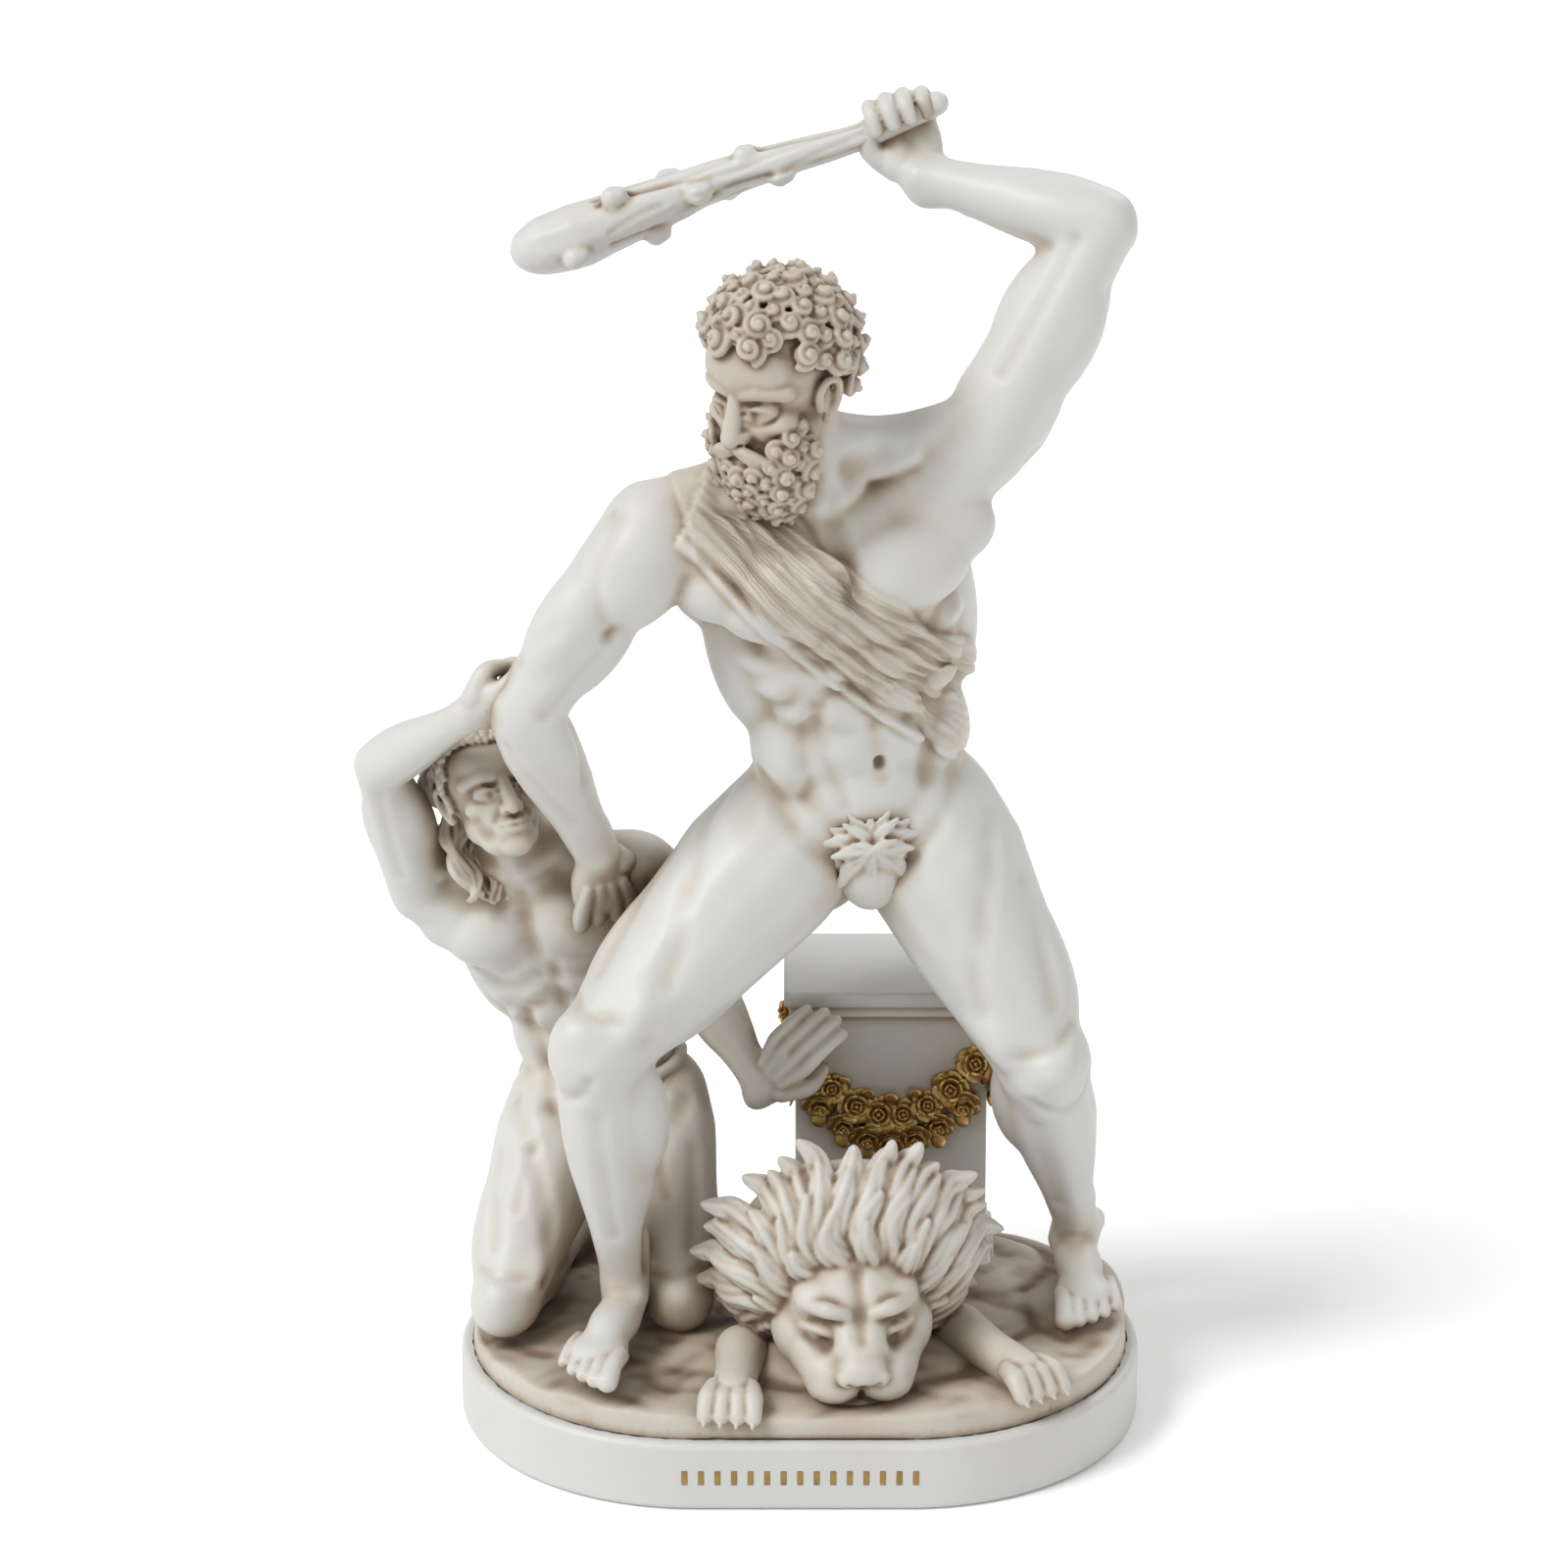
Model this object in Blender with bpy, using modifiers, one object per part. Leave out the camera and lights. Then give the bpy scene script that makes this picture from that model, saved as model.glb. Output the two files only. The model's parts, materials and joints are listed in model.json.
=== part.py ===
"""A cast statuette: a bearded club-swinging hero over a kneeling man, on an oval plinth.

Units are metres, +Z is up and the front faces -Y. The free forms (figures, pelt,
mane, club) are drawn on a grid of GRID_STEPS over GROUP_HEIGHT, so one grid step is
close to a millimetre, with the grid's zero on top of the plinth.
"""

import math

import bmesh
import bpy
import numpy as np
from mathutils import Matrix, Vector

# Plinth
PLINTH_LENGTH = 0.156
PLINTH_DEPTH = 0.108
PLINTH_HEIGHT = 0.0165
PLINTH_EDGE_ROUND = 0.0016

# Row of gilt strokes cut in the plinth's front
STROKE_COUNT = 15
STROKE_PITCH = 0.0037
STROKE_WIDTH = 0.0014
STROKE_HEIGHT = 0.0036
STROKE_DEPTH = 0.0005

# Cast group: the seam left over the plinth, the ground's inset and thickness, and the
# height that the grid stands for
SEAM_GAP = 0.0003
GROUND_INSET = 0.0022
GROUND_THICKNESS = 0.0055
GROUP_HEIGHT = 0.2892

# Garlanded altar behind the hero's legs
ALTAR_WIDTH = 0.044
ALTAR_DEPTH = 0.030
ALTAR_HEIGHT = 0.079
ALTAR_CENTRE_X = 0.021
ALTAR_CENTRE_Y = 0.030
GARLAND_THICKNESS = 0.0085
GARLAND_DROP = 0.017

# Mesh fineness
CLAY_VOXEL = 0.00125
GROUP_TRIANGLES = 8700
SMOOTH_PASSES = 5
RIM_CORNERS = 72

GRID_STEPS = 305
STEP = GROUP_HEIGHT / GRID_STEPS
MODEL_STATURE = 275.0

# Joints of the standing hero, in grid steps above the plinth
HERO = {
    "stature": 300.0,
    "build": 1.13,
    "pelvis": (14, 3, 137),
    "waist": (13, -1, 161),
    "chest": (9, -5, 194),
    "neck": (2, -10, 227),
    "head": (-6, -17, 252),
    "face": (-0.62, -0.75, -0.22),
    "shoulder_right": (-34, -15, 214),
    "elbow_right": (-64, -19, 170),
    "wrist_right": (-48, -3, 129),
    "shoulder_left": (42, 1, 230),
    "elbow_left": (69, 8, 280),
    "wrist_left": (28, 24, 286),
    "hip_right": (0, 1, 134),
    "knee_right": (-48, -29, 89),
    "ankle_right": (-42, -15, 21),
    "toes_right": (-0.30, -0.95),
    "hip_left": (28, 5, 136),
    "knee_left": (58, -9, 77),
    "ankle_left": (68, 21, 19),
    "toes_left": (0.08, -1.0),
}

# Joints of the kneeling man, in the same grid
FOE = {
    "stature": 240.0,
    "build": 1.06,
    "pelvis": (-46, 22, 55),
    "waist": (-51, 22, 76),
    "chest": (-60, 18, 100),
    "neck": (-66, 12, 123),
    "head": (-73, 5, 143),
    "face": (0.30, -0.86, 0.40),
    "shoulder_right": (-90, 17, 111),
    "elbow_right": (-99, 2, 149),
    "wrist_right": (-77, -17, 169),
    "shoulder_left": (-40, 8, 121),
    "elbow_left": (-24, 23, 84),
    "wrist_left": (-9, 7, 63),
    "hip_right": (-57, 20, 53),
    "knee_right": (-71, -14, 16),
    "ankle_right": (-55, 31, 14),
    "toes_right": (0.60, 0.80),
    "hip_left": (-36, 22, 54),
    "knee_left": (-29, -11, 16),
    "ankle_left": (-32, 33, 14),
    "toes_left": (0.35, 0.93),
}

# Limb outlines: (share along the bone, radius)
THIGH_LINE = ((0.0, 15.5), (0.2, 16.5), (0.45, 14.8), (0.7, 12.0), (0.88, 10.0), (1.0, 9.8))
SHIN_LINE = ((0.0, 9.6), (0.12, 8.8), (0.3, 9.0), (0.5, 7.8), (0.7, 6.0), (0.88, 4.9), (1.0, 5.3))
UPPER_ARM_LINE = ((0.0, 9.6), (0.25, 9.4), (0.5, 8.8), (0.75, 7.6), (1.0, 7.0))
FOREARM_LINE = ((0.0, 7.0), (0.2, 7.8), (0.4, 7.2), (0.7, 5.4), (1.0, 4.6))

# Muscles on a bone: (share along, outwards, forwards, radius out, radius front, radius along)
THIGH_MUSCLES = (
    (0.42, 0.5, 6.0, 7.0, 7.8, 26.0),
    (0.55, 7.2, 2.2, 6.6, 8.2, 24.0),
    (0.80, -6.0, 4.0, 5.6, 5.4, 11.0),
    (0.78, 5.6, 3.8, 4.6, 4.8, 12.0),
    (0.22, -7.2, -1.0, 8.0, 9.0, 21.0),
    (0.50, 4.2, -7.0, 5.4, 6.4, 24.0),
    (0.50, -4.2, -7.0, 5.4, 6.4, 24.0),
    (0.02, 2.5, -9.5, 13.0, 11.5, 15.0),
    (1.0, 0.0, 6.6, 5.6, 4.4, 6.4),
)
SHIN_MUSCLES = (
    (0.27, -4.2, -5.0, 6.0, 6.6, 16.0),
    (0.24, 4.2, -4.8, 5.6, 6.2, 14.5),
    (0.48, 0.0, -3.4, 7.2, 5.8, 16.0),
    (0.32, 2.6, 3.8, 4.0, 4.0, 19.0),
    (0.50, -1.4, 3.6, 2.6, 3.0, 28.0),
    (0.86, 0.0, -4.4, 2.3, 2.6, 12.0),
    (1.0, -4.6, 0.4, 2.4, 2.8, 3.2),
    (1.02, 4.6, -0.6, 2.4, 2.8, 3.2),
)
UPPER_ARM_MUSCLES = (
    (0.16, 3.0, 0.0, 9.0, 10.4, 16.0),
    (0.56, 0.0, 4.0, 6.6, 6.0, 15.0),
    (0.50, 1.0, -4.4, 7.0, 6.2, 17.0),
    (1.0, 0.0, -3.4, 4.0, 4.0, 4.4),
)
FOREARM_MUSCLES = (
    (0.16, 3.4, 1.6, 4.6, 5.0, 14.0),
    (0.25, -3.2, 0.0, 4.8, 5.2, 14.0),
    (1.0, 0.0, 0.0, 5.6, 4.0, 4.0),
)

# Masses of the trunk: (leftwards, forwards, upwards, radii in the same order).
# An entry off the middle line is set on both sides.
PELVIS_MASSES = (
    (0, 0, 5, 20.5, 13.5, 14.0),
    (12.5, -1, 8, 8.5, 10.0, 12.0),
    (0, 5, 9, 13.5, 9.0, 14.0),
    (8.0, -9, -1, 9.8, 9.6, 12.0),
)
CHEST_MASSES = (
    (0, 0, -3, 23.5, 15.4, 26.0),
    (0, -1.5, 14, 25.5, 13.0, 14.0),
    (0, 2.5, -20, 14.5, 11.4, 22.0),
    (11.2, 9.8, 8.5, 13.4, 7.0, 10.2),
    (21.0, 6.5, 13, 10.0, 6.6, 8.5),
    (18.5, -3.5, -6, 8.0, 9.8, 23.0),
    (20.5, -6, 9, 10.5, 7.6, 13.0),
    (11.5, -10.5, 9, 11.0, 5.2, 14.0),
    (0, -8.5, 14, 12.5, 6.6, 18.0),
    (17.9, 6.0, -5, 4.2, 5.4, 3.6),
    (16.0, 6.6, -12, 4.0, 5.2, 3.6),
    (13.2, 6.8, -19, 4.0, 5.0, 3.6),
    (5.0, 12.4, -9, 5.0, 3.0, 5.0),
    (5.0, 11.6, -19, 5.0, 3.0, 5.2),
    (4.8, 10.4, -30, 4.8, 3.2, 5.6),
    (5.4, -9.4, -22, 5.6, 5.2, 30.0),
)
WAIST_MASSES = (
    (0, 0, 0, 18.6, 12.6, 19.0),
    (14.8, 1.5, -2, 6.2, 9.0, 12.0),
    (9.0, -5.0, 0, 8.0, 7.0, 20.0),
)

# Rods that carry the chest and back out to the shoulder: (leftwards, forwards and
# upwards in the chest, radius in the chest, radius at the shoulder)
SHOULDER_JOINS = (
    (14, -1, 15, 11.0, 9.6),
    (14, 8, 10, 6.6, 7.2),
    (17, -8, 2, 7.0, 7.0),
    (12, -9, 16, 6.6, 7.2),
)

# Masses of the head: (leftwards, forwards, upwards, radii in the same order)
HEAD_MASSES = (
    (0, -2, 3, 13.2, 15.4, 14.4),
    (0, 6.4, 4, 10.4, 7.4, 8.4),
    (0, 7.4, -6, 9.2, 6.8, 10.0),
    (0, 6.0, -14, 8.0, 7.4, 6.0),
    (0, 11.4, -17.6, 4.2, 3.6, 3.2),
    (7.2, 8.8, -5, 3.4, 3.4, 2.8),
    (13.4, -0.6, -3, 1.9, 3.4, 5.0),
    (4.9, 11.2, -1.2, 2.6, 2.4, 2.2),
    (0, 14.3, -11.2, 3.6, 1.8, 2.0),
    (1.9, 15.0, -7.2, 1.5, 1.9, 1.5),
)
# The bridge of the nose and the brows: (left, front, up) of each point, then its radius
NOSE_LINE = ((0, 12.8, 1.6, 1.7), (0, 16.4, -6.4, 2.2))
BROW_LINE = ((-6.4, 10.6, 2.4, 1.8), (0.0, 12.0, 2.4, 1.6), (6.4, 10.6, 2.4, 1.8))

# Head of the lion's skin, in the same form and times LION_SCALE
LION_PLACE = (12, -26, 23)
LION_SCALE = 1.35
LION_MASSES = (
    (0, -4, 3, 13.5, 14, 12),
    (0, 3, 3.5, 9.5, 9, 8),
    (0, 10, 1.5, 6.0, 9.5, 5.6),
    (3.8, 15.5, -2.5, 5.0, 5.8, 4.8),
    (0, 20.2, 1.4, 3.8, 2.4, 2.6),
    (0, 14, -8.5, 5.0, 5.6, 3.6),
    (8.4, 2, -3, 7.0, 8.5, 8.5),
    (5.6, 6.0, 7.4, 5.2, 4.0, 3.0),
    (12.0, -6, 11.5, 4.2, 2.8, 4.8),
)
# The mane's dome behind the face: leftwards, forwards, upwards, radii in the same order
MANE_DOME = (0, -9, 3, 21, 12, 20)
MANE_LOCKS = 17
MANE_THICKNESS = 3.6
# Rows of locks on the dome: (reach at the root, reach at the tip), 1 being the dome's rim
MANE_ROWS = ((0.52, 0.90), (0.68, 1.02), (0.84, 1.12))
PAWS = (((38, -14, 9), (53, -37, 9)), ((-14, -26, 9), (-16, -46, 8)))

# Hair: the scalp's middle and radii, in the head's directions
SCALP_MIDDLE = (0, -2, 3)
SCALP_RADII = (14.0, 16.2, 15.4)
# Curls of the cap and of the beard: middle and radii of the form, how many, their radius
CURL_CAP = ((0, -2, 3), (14.2, 16.2, 15.4), 120, 3.3)
BEARD = ((0, 6.4, -10.5), (10.4, 9.4, 14.4), 110, 2.9)
# The kneeling man's swept locks: how many, how far they fan out, and their radii
SWEPT_LOCKS = 11
SWEPT_FAN = 1.75
SWEPT_RADII = (1.8, 2.8, 3.2, 3.3, 3.2, 2.9, 1.6)
LOCK_FALL = 9.0

# A hand: lengths of the fingers, of their joints, and places from the wrist
FINGER_LENGTHS = (6.6, 7.2, 6.8, 5.4)
FINGER_JOINTS = (1.0, 0.72, 0.55)
FINGER_PITCH = 3.9
FINGER_RADIUS = 2.1
KNUCKLE_REACH = 14.5

# A foot: (forwards, inwards, height, radii in the same order), and how far toes reach
FOOT_LUMPS = (
    (-6.0, 0.0, 5.0, 6.6, 5.2, 5.4),
    (0.0, 0.0, 8.5, 6.8, 5.6, 6.5),
    (10.0, 0.8, 6.2, 12.0, 6.2, 5.4),
    (21.0, 0.6, 3.8, 8.0, 7.8, 3.8),
)
TOE_REACHES = (32.5, 32.4, 30.8, 28.6, 25.8)
TOE_RADII = (2.7, 2.0, 1.9, 1.8, 1.7)
TOE_PITCH = 3.1

# Soles under the ankle joints, and the hands: which wrist, where the fingers and the palm
# point, how far the fingers curl at each joint, and the side of the thumb
HERO_FEET = (("right", 1, 1.0, 11), ("left", -1, 1.0, 11))
FOE_FEET = (("right", 1, 0.8, 7), ("left", -1, 0.8, 7))
HERO_HAND_SIZE = 1.05
FOE_HAND_SIZE = 0.88
HERO_HANDS = (
    ("right", (0.1, 0.25, -1.0), (-0.35, 0.9, 0.3), 0.42, 1),
    ("left", (-0.296, 0.586, 0.754), (-0.163, -0.807, 0.563), 1.15, -1),
)
FOE_HANDS = (
    ("right", (0.85, -0.15, 0.35), (0.1, 0.9, 0.2), 0.75, 1),
    ("left", (0.55, -0.2, 0.8), (0.4, 0.8, -0.2), 0.3, -1),
)

# Folds of the chest cloth: (left of the lower fold, of the upper fold, front, up of the
# lower fold, of the upper fold) at five places from the shoulder to the other hip
CHEST_FOLDS = 7
CHEST_FOLD_RADIUS = 1.8
CHEST_CLOTH = (
    (-25, -13, 2, 26, 26),
    (-21, -6, 13, 16, 16),
    (-12, 6, 16.5, -4, 6),
    (0, 14, 15.0, -24, -10),
    (12, 21, 7, -42, -24),
)
# The hip cloth: middle line's half width, front reach and radius; and its fall in front
HIP_TWIST = (20.0, 13.6, 2.6)
HIP_TWIST_TURNS = (0.0, 2.2)
HIP_STEPS = 18
HIP_FALLS = (-5.5, -2.0, 1.5, 5.0)
# One fall: (share of its sideways place, front, up, radius)
HIP_FALL = ((0.8, 13.5, 2, 2.4), (1.0, 14.5, -7, 2.7), (1.1, 12.0, -15, 1.8))

# The club: its ends, and (share along, radius)
CLUB_GRIP = (23, 27.5, 299)
CLUB_END = (-62, 24, 269)
CLUB_LINE = (
    (-0.10, 3.0),
    (0.0, 3.3),
    (0.15, 3.5),
    (0.45, 4.8),
    (0.72, 6.6),
    (0.88, 7.8),
    (0.96, 7.2),
    (1.0, 5.6),
)
KNOT_COUNT = 9
KNOT_SPAN = (0.34, 0.90)
KNOT_RADIUS = 2.4

# Masses of the ground: (x, y, z, radii in the same order)
ROCKS = (
    (0, 4, 5.8, 58, 40, 3.4),
    (30, 24, 5.8, 34, 22, 6.0),
    (-52, 10, 4, 26, 38, 5.0),
    (66, 12, 4, 14, 28, 4.6),
    (10, -18, 4, 36, 24, 7.0),
)

# Courses of the altar: (how far out, then the share of the height and the steps over it
# for the lower and for the upper face)
ALTAR_COURSES = (
    (0.0, 0, 0, 1, 0),
    (2.6, 0, 0, 0, 10),
    (1.5, 0, 10, 0, 13),
    (1.6, 1, -5, 1, -2),
    (2.8, 1, -2, 1, 2),
)
# Roses along the garland's front and sides, and how high it hangs on the altar
FRONT_ROSES = 8
SIDE_ROSES = 5
GARLAND_LEVEL = 0.80


def lerp(low, high, share):
    return low + (high - low) * share


def size_of(figure):
    """A figure's size against the one that the tables are drawn for."""
    return figure["stature"] / MODEL_STATURE


class Frame:
    """A place with three directions of its own: left, front and up of a figure."""

    def __init__(self, origin, left, front, up):
        self.origin = Vector(origin)
        self.left = left
        self.front = front
        self.up = up

    def point(self, left, front, up):
        return self.origin + self.left * left + self.front * front + self.up * up


def body_frame(origin, up, left):
    """A frame that keeps the given up and takes left and front square to it."""
    up = Vector(up).normalized()
    front = Vector(left).cross(up).normalized()
    return Frame(origin, up.cross(front).normalized(), front, up)


class Bone:
    """A limb's axis from one joint to the next, with its front and its outer side."""

    def __init__(self, start, end, front, side, figure):
        self.start = Vector(start)
        self.length = (Vector(end) - self.start).length
        self.along = (Vector(end) - self.start).normalized()
        front = Vector(front)
        self.front = (front - self.along * front.dot(self.along)).normalized()
        self.out = self.along.cross(self.front) * side
        self.scale = size_of(figure)
        self.girth = self.scale * figure["build"]

    def point(self, share, out, front):
        offset = (self.out * out + self.front * front) * self.girth
        return self.start + self.along * self.length * share + offset


def template(make, **settings):
    """The corners and faces of one Blender primitive of unit size."""
    shape = bmesh.new()
    make(shape, **settings)
    corners = np.array([corner.co for corner in shape.verts])
    faces = [[corner.index for corner in face.verts] for face in shape.faces]
    shape.free()
    return corners, faces


class Clay:
    """Overlapping closed lumps, in grid steps, later fused to one skin."""

    def __init__(self):
        self.corners = []
        self.faces = []
        self.count = 0
        self.sphere = template(bmesh.ops.create_uvsphere, u_segments=16, v_segments=10, radius=1.0)
        self.bead = template(bmesh.ops.create_icosphere, subdivisions=2, radius=1.0)
        self.cube = template(bmesh.ops.create_cube, size=1.0)
        self.rod = template(
            bmesh.ops.create_cone, cap_ends=True, segments=14, radius1=1.0, radius2=1.0, depth=1.0
        )

    def add(self, corners, faces):
        self.corners.append(corners)
        self.faces.extend([self.count + index for index in face] for face in faces)
        self.count += len(corners)

    def ball(self, centre, radii, axes):
        """An ellipsoid with its three radii along the three axes."""
        corners, faces = self.sphere
        self.add((corners * np.array(radii)) @ np.array(axes) + np.array(centre), faces)

    def knob(self, centre, radius):
        corners, faces = self.bead
        self.add(corners * radius + np.array(centre), faces)

    def stick(self, start, end, start_radius, end_radius):
        """A tapered rod between two points, without its round ends."""
        corners, faces = self.rod
        reach = Vector(end) - Vector(start)
        turn = np.array(reach.to_track_quat("Z", "Y").to_matrix())
        share = corners[:, 2:] + 0.5
        across = corners[:, :2] * (start_radius + (end_radius - start_radius) * share)
        shaped = np.hstack([across, share * reach.length])
        self.add(shaped @ turn.T + np.array(start), faces)

    def rope(self, points, radii):
        """A round-ended rod through the points, with a radius at each."""
        for point, radius in zip(points, radii):
            self.knob(point, radius)
        for index in range(len(points) - 1):
            self.stick(points[index], points[index + 1], radii[index], radii[index + 1])

    def slab(self, low, high):
        """A box between two corners."""
        corners, faces = self.cube
        low = np.array(low)
        high = np.array(high)
        self.add(corners * (high - low) + (low + high) / 2, faces)

    def limb(self, bone, line, muscles):
        points = [bone.point(share, 0, 0) for share, _ in line]
        self.rope(points, [radius * bone.girth for _, radius in line])
        for share, out, front, wide, deep, reach in muscles:
            sizes = (wide * bone.girth, deep * bone.girth, reach * bone.scale)
            self.ball(bone.point(share, out, front), sizes, (bone.out, bone.front, bone.along))

    def masses(self, frame, table, scale, build=1.0):
        """The lumps of a table, those off the middle line on both sides."""
        axes = (frame.left, frame.front, frame.up)
        girth = scale * build
        for left, front, up, wide, deep, tall in table:
            for side in (-1, 1) if left else (1,):
                centre = frame.point(left * side * girth, front * girth, up * scale)
                self.ball(centre, (wide * girth, deep * girth, tall * scale), axes)


def joint(figure, name):
    return Vector(figure[name])


def leg(clay, figure, side_name, side):
    """Thigh, shin and muscles of one leg."""
    hip = joint(figure, f"hip_{side_name}")
    knee = joint(figure, f"knee_{side_name}")
    ankle = joint(figure, f"ankle_{side_name}")
    toes = Vector((*figure[f"toes_{side_name}"], 0))
    bend = knee - (hip + ankle) / 2
    front = bend + toes * 0.2 * (1 if toes.dot(bend) > 0 else 0)
    clay.limb(Bone(hip, knee, front, side, figure), THIGH_LINE, THIGH_MUSCLES)
    clay.limb(Bone(knee, ankle, front, side, figure), SHIN_LINE, SHIN_MUSCLES)


def foot(clay, ankle, heading, side, scale, drop):
    """A bare foot flat on the ground, its sole drop below the ankle joint."""
    along = Vector((*heading, 0)).normalized()
    up = Vector((0, 0, 1))
    inner = along.cross(up) * -side
    sole = Vector(ankle) - up * drop

    def place(forwards, inwards, height):
        return sole + (along * forwards + inner * inwards + up * height) * scale

    for forwards, inwards, height, *radii in FOOT_LUMPS:
        sizes = [radius * scale for radius in radii]
        clay.ball(place(forwards, inwards, height), sizes, (along, inner, up))
    for toe, (reach, radius) in enumerate(zip(TOE_REACHES, TOE_RADII)):
        inwards = (2 - toe) * TOE_PITCH
        points = [
            place(reach - 10.0, inwards, 4.0),
            place(reach - 4.6, inwards * 1.05, 4.2),
            place(reach, inwards * 1.06, 2.1),
        ]
        clay.rope(points, [radius * scale] * len(points))


def arm(clay, figure, side_name, side):
    """Upper arm and forearm, with the elbow at the back."""
    shoulder = joint(figure, f"shoulder_{side_name}")
    elbow = joint(figure, f"elbow_{side_name}")
    wrist = joint(figure, f"wrist_{side_name}")
    front = (shoulder + wrist) / 2 - elbow
    clay.limb(Bone(shoulder, elbow, front, side, figure), UPPER_ARM_LINE, UPPER_ARM_MUSCLES)
    clay.limb(Bone(elbow, wrist, front, side, figure), FOREARM_LINE, FOREARM_MUSCLES)


def hand(clay, wrist, along, palm, scale, curl, thumb_side):
    """A hand from the wrist: along points to the knuckles, palm the way it faces."""
    along = Vector(along).normalized()
    palm = Vector(palm)
    palm = (palm - along * palm.dot(along)).normalized()
    across = along.cross(palm) * thumb_side
    wrist = Vector(wrist)

    def place(forwards, outwards, down):
        return wrist + (along * forwards + across * outwards + palm * down) * scale

    sizes = (9.5 * scale, 7.4 * scale, 3.9 * scale)
    clay.ball(place(8.0, 0, 0), sizes, (along, across, palm))
    for finger, length in enumerate(FINGER_LENGTHS):
        shift = (1.5 - finger) * FINGER_PITCH
        point = place(KNUCKLE_REACH, shift, -0.4)
        points = [place(KNUCKLE_REACH / 2, shift * 0.7, -1.0), point]
        angle = 0.0
        for share in FINGER_JOINTS:
            angle += curl
            heading = along * math.cos(angle) + palm * math.sin(angle)
            point = point + heading * length * share * scale
            points.append(point)
        clay.rope(points, [FINGER_RADIUS * scale] * len(points))
    thumb = [place(4.0, 4.6, 0), place(9.0, 8.6, 3.6), place(13.4, 8.1 - curl * 2, 7.8)]
    clay.rope(thumb, [3.6 * scale, 2.7 * scale, 2.1 * scale])


def trunk(clay, figure):
    """Pelvis, waist, ribs, shoulders, collar bones and neck."""
    scale = size_of(figure)
    girth = scale * figure["build"]
    pelvis, waist = joint(figure, "pelvis"), joint(figure, "waist")
    chest, neck = joint(figure, "chest"), joint(figure, "neck")
    hips = joint(figure, "hip_left") - joint(figure, "hip_right")
    shoulders = joint(figure, "shoulder_left") - joint(figure, "shoulder_right")
    low = body_frame(pelvis, waist - pelvis, hips)
    middle = body_frame(waist, chest - pelvis, hips + shoulders)
    high = body_frame(chest, neck - waist, shoulders)
    clay.masses(low, PELVIS_MASSES, scale, figure["build"])
    clay.masses(middle, WAIST_MASSES, scale, figure["build"])
    clay.masses(high, CHEST_MASSES, scale, figure["build"])
    head = joint(figure, "head")
    clay.rope([neck - high.up * 4 * scale, lerp(neck, head, 0.6)], [11.5 * scale, 9.6 * scale])
    notch = high.point(0, 9.0 * scale, 27.0 * scale)
    for side_name, side in (("right", -1), ("left", 1)):
        shoulder = joint(figure, f"shoulder_{side_name}")
        top = shoulder + high.up * 5.5 * scale
        slope = [lerp(neck, head, 0.35), lerp(neck, shoulder, 0.45) + high.up * 2 * scale, top]
        clay.rope(slope, [7.0 * scale, 7.2 * scale, 5.6 * scale])
        collar = lerp(notch, top, 0.55) + high.front * 2.0 * scale
        collar_line = [notch, collar, top + high.front * 3 * scale]
        clay.rope(collar_line, [2.6 * scale, 2.6 * scale, 3.4 * scale])
        for left, front, up, inner, outer in SHOULDER_JOINS:
            start = high.point(left * side * scale, front * scale, up * scale)
            end = shoulder + high.front * front * 0.35 * scale
            clay.rope([start, end], [inner * girth, outer * girth])
    return high


def head_frame(figure):
    """The head's frame, from where the face looks."""
    neck, head = joint(figure, "neck"), joint(figure, "head")
    face = Vector(figure["face"]).normalized()
    lean = (head - neck).normalized() * 0.35 + Vector((0, 0, 1))
    up = (lean - face * lean.dot(face)).normalized()
    return Frame(head, face.cross(up) * -1, face, up)


def spread(count):
    """Directions spread evenly over a sphere."""
    turn = math.pi * (3 - math.sqrt(5))
    for index in range(count):
        height = 1 - 2 * (index + 0.5) / count
        radius = math.sqrt(1 - height * height)
        yield math.cos(turn * index) * radius, math.sin(turn * index) * radius, height


def hero_head(clay, figure):
    """Head with a cap of round curls and a curly beard."""
    scale = size_of(figure)
    frame = head_frame(figure)
    clay.masses(frame, HEAD_MASSES, scale)
    for line in (NOSE_LINE, BROW_LINE):
        clay.rope([frame.point(*place) for *place, _ in line], [radius for *_, radius in line])

    def over_face(left, front, up):
        return (front > 0.42 and up < 0.62) or up < -0.45 or (front > -0.25 and up < -0.05)

    def off_beard(left, front, up):
        by_mouth = (abs(left) < 0.30 and up > -0.22) or (abs(left) < 0.62 and up > -0.02)
        return up > 0.30 or front < -0.12 or by_mouth

    curls(clay, frame, scale, CURL_CAP, over_face)
    curls(clay, frame, scale, BEARD, off_beard)


def curls(clay, frame, scale, form, left_out):
    """Round curls spread over a form of the head, except where left_out says."""
    middle, radii, count, size = form
    for heading in spread(count):
        if left_out(*heading):
            continue
        place = [way * radius + start for way, radius, start in zip(heading, radii, middle)]
        clay.knob(frame.point(*place), size * scale)


def scalp(frame, scale, heading, lift):
    """A point that lies lift above the scalp, in a direction of the head."""
    left, front, up = (
        middle + (radius + lift) * way
        for middle, radius, way in zip(SCALP_MIDDLE, SCALP_RADII, heading)
    )
    return frame.point(left * scale, front * scale, up * scale)


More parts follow.
